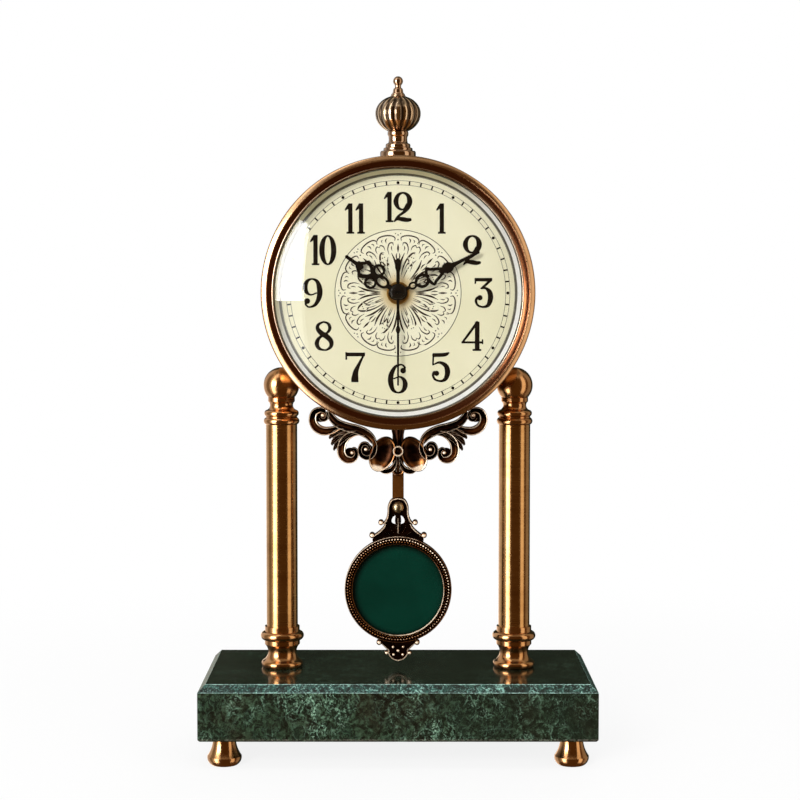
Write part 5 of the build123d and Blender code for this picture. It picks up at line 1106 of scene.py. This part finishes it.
bob.ball(8.9, 35.1, 1.4, 4.9)
bob.ball(13.5, 28.4, 1.5, 4.9)
bob.band([(0.0, 29.6, 0.8, 4.0, 0.0), (0.0, 33.0, 1.0, 4.2, 0.0), (0.0, 37.4, 0.4, 3.8, 0.0)],
         half_round, (1,), 16)
for leaf in ([(0.7, 30.0, 0.8, 4.0, 0.1), (1.2, 32.6, 1.3, 4.3, 0.1), (0.9, 35.2, 0.4, 3.8, 0.1)],
             [(2.2, 29.8, 0.8, 4.0, 0.1), (3.6, 31.8, 1.5, 4.3, 0.1), (4.3, 33.8, 0.4, 3.8, 0.1)],
             [(4.4, 28.8, 0.8, 4.0, 0.1), (6.2, 29.8, 1.4, 4.3, 0.1), (7.4, 30.6, 0.4, 3.8, 0.1)]):
    bob.band(leaf, veined_leaf, count=16)
bob.band([(0.0, -37.4, 1.1, 4.8, 0.0), (2.4, -36.6, 1.1, 4.8, 0.0), (4.2, -35.0, 1.1, 4.7, 0.0),
          (5.0, -33.4, 1.1, 4.6, 0.0), (4.9, -32.0, 1.0, 4.5, 0.0), (6.2, -30.8, 1.0, 4.5, 0.0),
          (7.4, -29.6, 1.0, 4.5, 0.0), (8.6, -28.6, 0.9, 4.3, 0.0)], half_round, count=44)
bob.ball(9.9, -28.0, 1.4, 4.6)
bob.ball(6.0, -33.4, 1.1, 4.6)
for bead_x, bead_rise in ((2.6, -30.2), (2.4, -34.2)):
    bob.ball(bead_x, bead_rise, 0.85, 4.6)
bob.ball(0.0, -32.2, 0.95, 4.8, (1,))
bob_piece = bob.finish("bob_casting")
finish_piece(bob_piece, cast, "pendulum", "cast_bronze", "bob_frame")


def spindle(points):
    """Upright shape from (rise, half width) points, as a distance to its edge."""
    line = smooth_line(points, 60)

    def distance(x, rise):
        half = np.interp(rise, line[:, 0], line[:, 1])
        return np.maximum(np.abs(x) - half, np.maximum(line[0, 0] - rise, rise - line[-1, 0]))
    return distance


arch = spindle([(24.0, 12.6), (26.0, 13.4), (28.0, 12.4), (29.4, 10.8), (31.2, 8.6), (33.0, 7.0),
                (34.8, 6.9), (36.6, 5.9), (39.0, 5.1), (41.5, 5.0), (43.5, 4.9), (45.6, 4.3),
                (47.0, 3.0), (48.0, 1.2)])
tail = spindle([(-37.8, 0.8), (-36.8, 2.6), (-35.2, 4.4), (-33.4, 5.3), (-32.0, 5.2), (-30.6, 6.6),
                (-29.0, 8.2), (-27.4, 9.4), (-25.0, 9.8)])
pierced = paired([(1.6, 34.4, 0.5), (2.5, 35.6, 1.7), (2.2, 37.4, 1.3), (1.5, 38.6, 0.3)])
within_ring = disc(0, 0, 25.0)
plate_box = (-15, -39, 15, 49)
plate_pitch = 0.12
plate_back = -0.6
plate_thickness = 2.0
plate_bevel = 0.15
plate_loops = contour([arch, tail], pierced + [within_ring], plate_box, plate_pitch)
plate_loops = [[(x, bob_height + rise) for x, rise in loop] for loop in plate_loops]
bob_plate = cut_sheet("bob_plates", plate_loops, plate_back, plate_thickness, plate_bevel)
finish_piece(bob_plate, cast, "pendulum", "cast_bronze")

# Studio: a pale floor and white surroundings, lamps above and in front at a plain level, and tall bright and
# dark cards all round that only polished metal and glass show. The camera stands where the photograph's did.
scene = bpy.context.scene
white = (1.0, 1.0, 1.0)
floor_reach = 3.0
paper_near = 0.18
paper_far = 0.6
paper_least = 0.86
floor_finish = Surface("pale_floor", Roughness=0.8)
floor_mottle = floor_finish.noise(floor_finish.place, 60, 3)
floor_finish.paint(Base_Color=floor_finish.mix(floor_mottle, tone(238, 238, 238), tone(243, 243, 243)))
seen = floor_finish.node("ShaderNodeLightPath", output="Is Camera Ray")
away = floor_finish.node("ShaderNodeVectorMath", {"operation": "LENGTH"}, {0: floor_finish.place}, "Value")
paper_share = paper_least + away.rise(paper_near, paper_far) * (1 - paper_least)
paper_white = floor_finish.node("ShaderNodeEmission", None, {"Color": (*white, 1.0), "Strength": 1.0})
floor_finish.blend(seen * paper_share, floor_finish.look, paper_white)
floor_mesh = bpy.data.meshes.new("studio_floor")
floor_corners = [(x * floor_reach, y * floor_reach, 0.0) for x, y in ((-1, -1), (1, -1), (1, 1), (-1, 1))]
floor_mesh.from_pydata(floor_corners, [], [(0, 1, 2, 3)])
floor_mesh.materials.append(floor_finish.material)
floor = put("studio_floor", floor_mesh)
floor.visible_glossy = False
floor.visible_transmission = False

card_distance = 2.2
card_centre = 0.2
card_column = 3
card_row = 6


def card(name, left, right, low, high, level, tint=white):
    """Glowing card round the clock between two bearings, right of the front, and two elevations."""
    finish = Surface(name)
    glow = finish.node("ShaderNodeEmission", None, {"Color": (*tint, 1.0), "Strength": level})
    scattered = finish.node("ShaderNodeLightPath", output="Diffuse Depth").math("MINIMUM", 1.0)
    finish.blend(scattered, glow, finish.node("ShaderNodeBsdfTransparent"))
    columns = max(2, int((right - left) / card_column))
    rows = max(2, int((high - low) / card_row))
    corners = []
    for row in range(rows + 1):
        lift = radians(low + (high - low) * row / rows)
        out = card_distance * cos(lift)
        for column in range(columns + 1):
            bearing = radians(left + (right - left) * column / columns)
            corners.append((out * sin(bearing), -out * cos(bearing), card_distance * sin(lift) + card_centre))
    faces = []
    for row in range(rows):
        for column in range(columns):
            first = row * (columns + 1) + column
            faces.append((first, first + 1, first + columns + 2, first + columns + 1))
    mesh = bpy.data.meshes.new(name)
    mesh.from_pydata(corners, [], faces)
    mesh.materials.append(finish.material)
    piece = put(name, mesh)
    piece.visible_camera = False
    piece.visible_diffuse = False
    piece.visible_volume_scatter = False
    piece.visible_shadow = False


warm = (1.0, 0.9, 0.74)
brown = (1.0, 0.52, 0.16)
dusk = (0.8, 1.0, 0.66)
card("card_far_left", -150, -110, -45, 50, 0.75)
card("card_left_gap", -110, -80, -45, 50, 0.3, warm)
card("card_left_edge", -80, -64, -45, 50, 0.8)
card("soft_box", -64, -34, -2, 24, 12.0)
card("soft_box_below", -64, -44, -45, -2, 6.0)
card("soft_box_foot", -44, -34, -45, -2, 1.6)
card("soft_box_above", -64, -46, 24, 50, 2.6)
card("soft_box_top", -46, -34, 24, 50, 0.7)
card("dark_front", -34, 46, -45, 50, 0.1, brown)
card("right_glow", 46, 73, -45, 50, 1.3, warm)
card("right_gap", 73, 92, -45, 50, 0.14, brown)
card("right_soft", 92, 128, -45, 50, 0.4, warm)
card("dark_back", 128, 187, -45, 50, 0.035, dusk)
card("left_back_low", 187, 210, -45, 1, 1.6, warm)
card("left_back_high", 187, 210, 1, 50, 0.035, dusk)
card("soft_box_high", -64, -34, 50, 84, 2.2)
card("overhead", -34, 296, 50, 62, 0.6, warm)
card("zenith", -34, 296, 62, 84, 0.22, warm)
card("crown", -180, 180, 84, 89.9, 0.3, warm)
card("underneath", -180, 180, -89.9, -45, 0.1, brown)


def lamp(name, place, aim, size, power):
    """Round lamp that polished metal and glass don't show."""
    data = bpy.data.lights.new(name, "AREA")
    data.shape = "DISK"
    data.size = size
    data.energy = power
    made = put(name, data)
    made.location = place
    made.rotation_euler = (Vector(aim) - Vector(place)).to_track_quat("-Z", "Y").to_euler()
    made.visible_glossy = False
    made.visible_transmission = False


lamp("key_lamp", (-0.8, -1.8, 0.85), (0.0, 0.0, 0.2), 0.9, 36.0)
lamp("right_lamp", (1.3, -1.2, 0.7), (0.0, 0.0, 0.2), 1.0, 5.0)
lamp("top_lamp", (0.0, -0.3, 1.9), (0.0, 0.0, 0.1), 1.0, 6.0)
lamp("rear_lamp", (0.5, 1.6, 0.9), (0.0, 0.0, 0.2), 1.0, 8.0)

plain_fill = 0.5
world = bpy.data.worlds.new("white_room")
scene.world = world
room = Surface("white_room", world, "Background", Color=(*white, 1.0))
straight = 0.0
for ray in ("Is Glossy Ray", "Is Transmission Ray", "Is Camera Ray"):
    straight = room.node("ShaderNodeLightPath", output=ray) + straight
scattered = room.node("ShaderNodeLightPath", output="Diffuse Depth").math("MINIMUM", 1.0)
straight = (straight.math("MINIMUM", 1.0) - scattered).math("MAXIMUM", 0.0)
room.paint(Strength=straight * (1 - plain_fill) + plain_fill)

camera_side = 1.0 * MM
camera_back = 1039.0 * MM
camera_height = 248.0 * MM
camera_tilt = 3.6
camera_data = bpy.data.cameras.new("studio_camera")
camera_data.lens = 90.0
camera_data.sensor_width = 36.0
camera = put("studio_camera", camera_data)
camera.location = (camera_side, -camera_back, camera_height)
camera.rotation_euler = (radians(90 - camera_tilt), 0.0, 0.0)
scene.camera = camera
scene.view_settings.view_transform = "Standard"
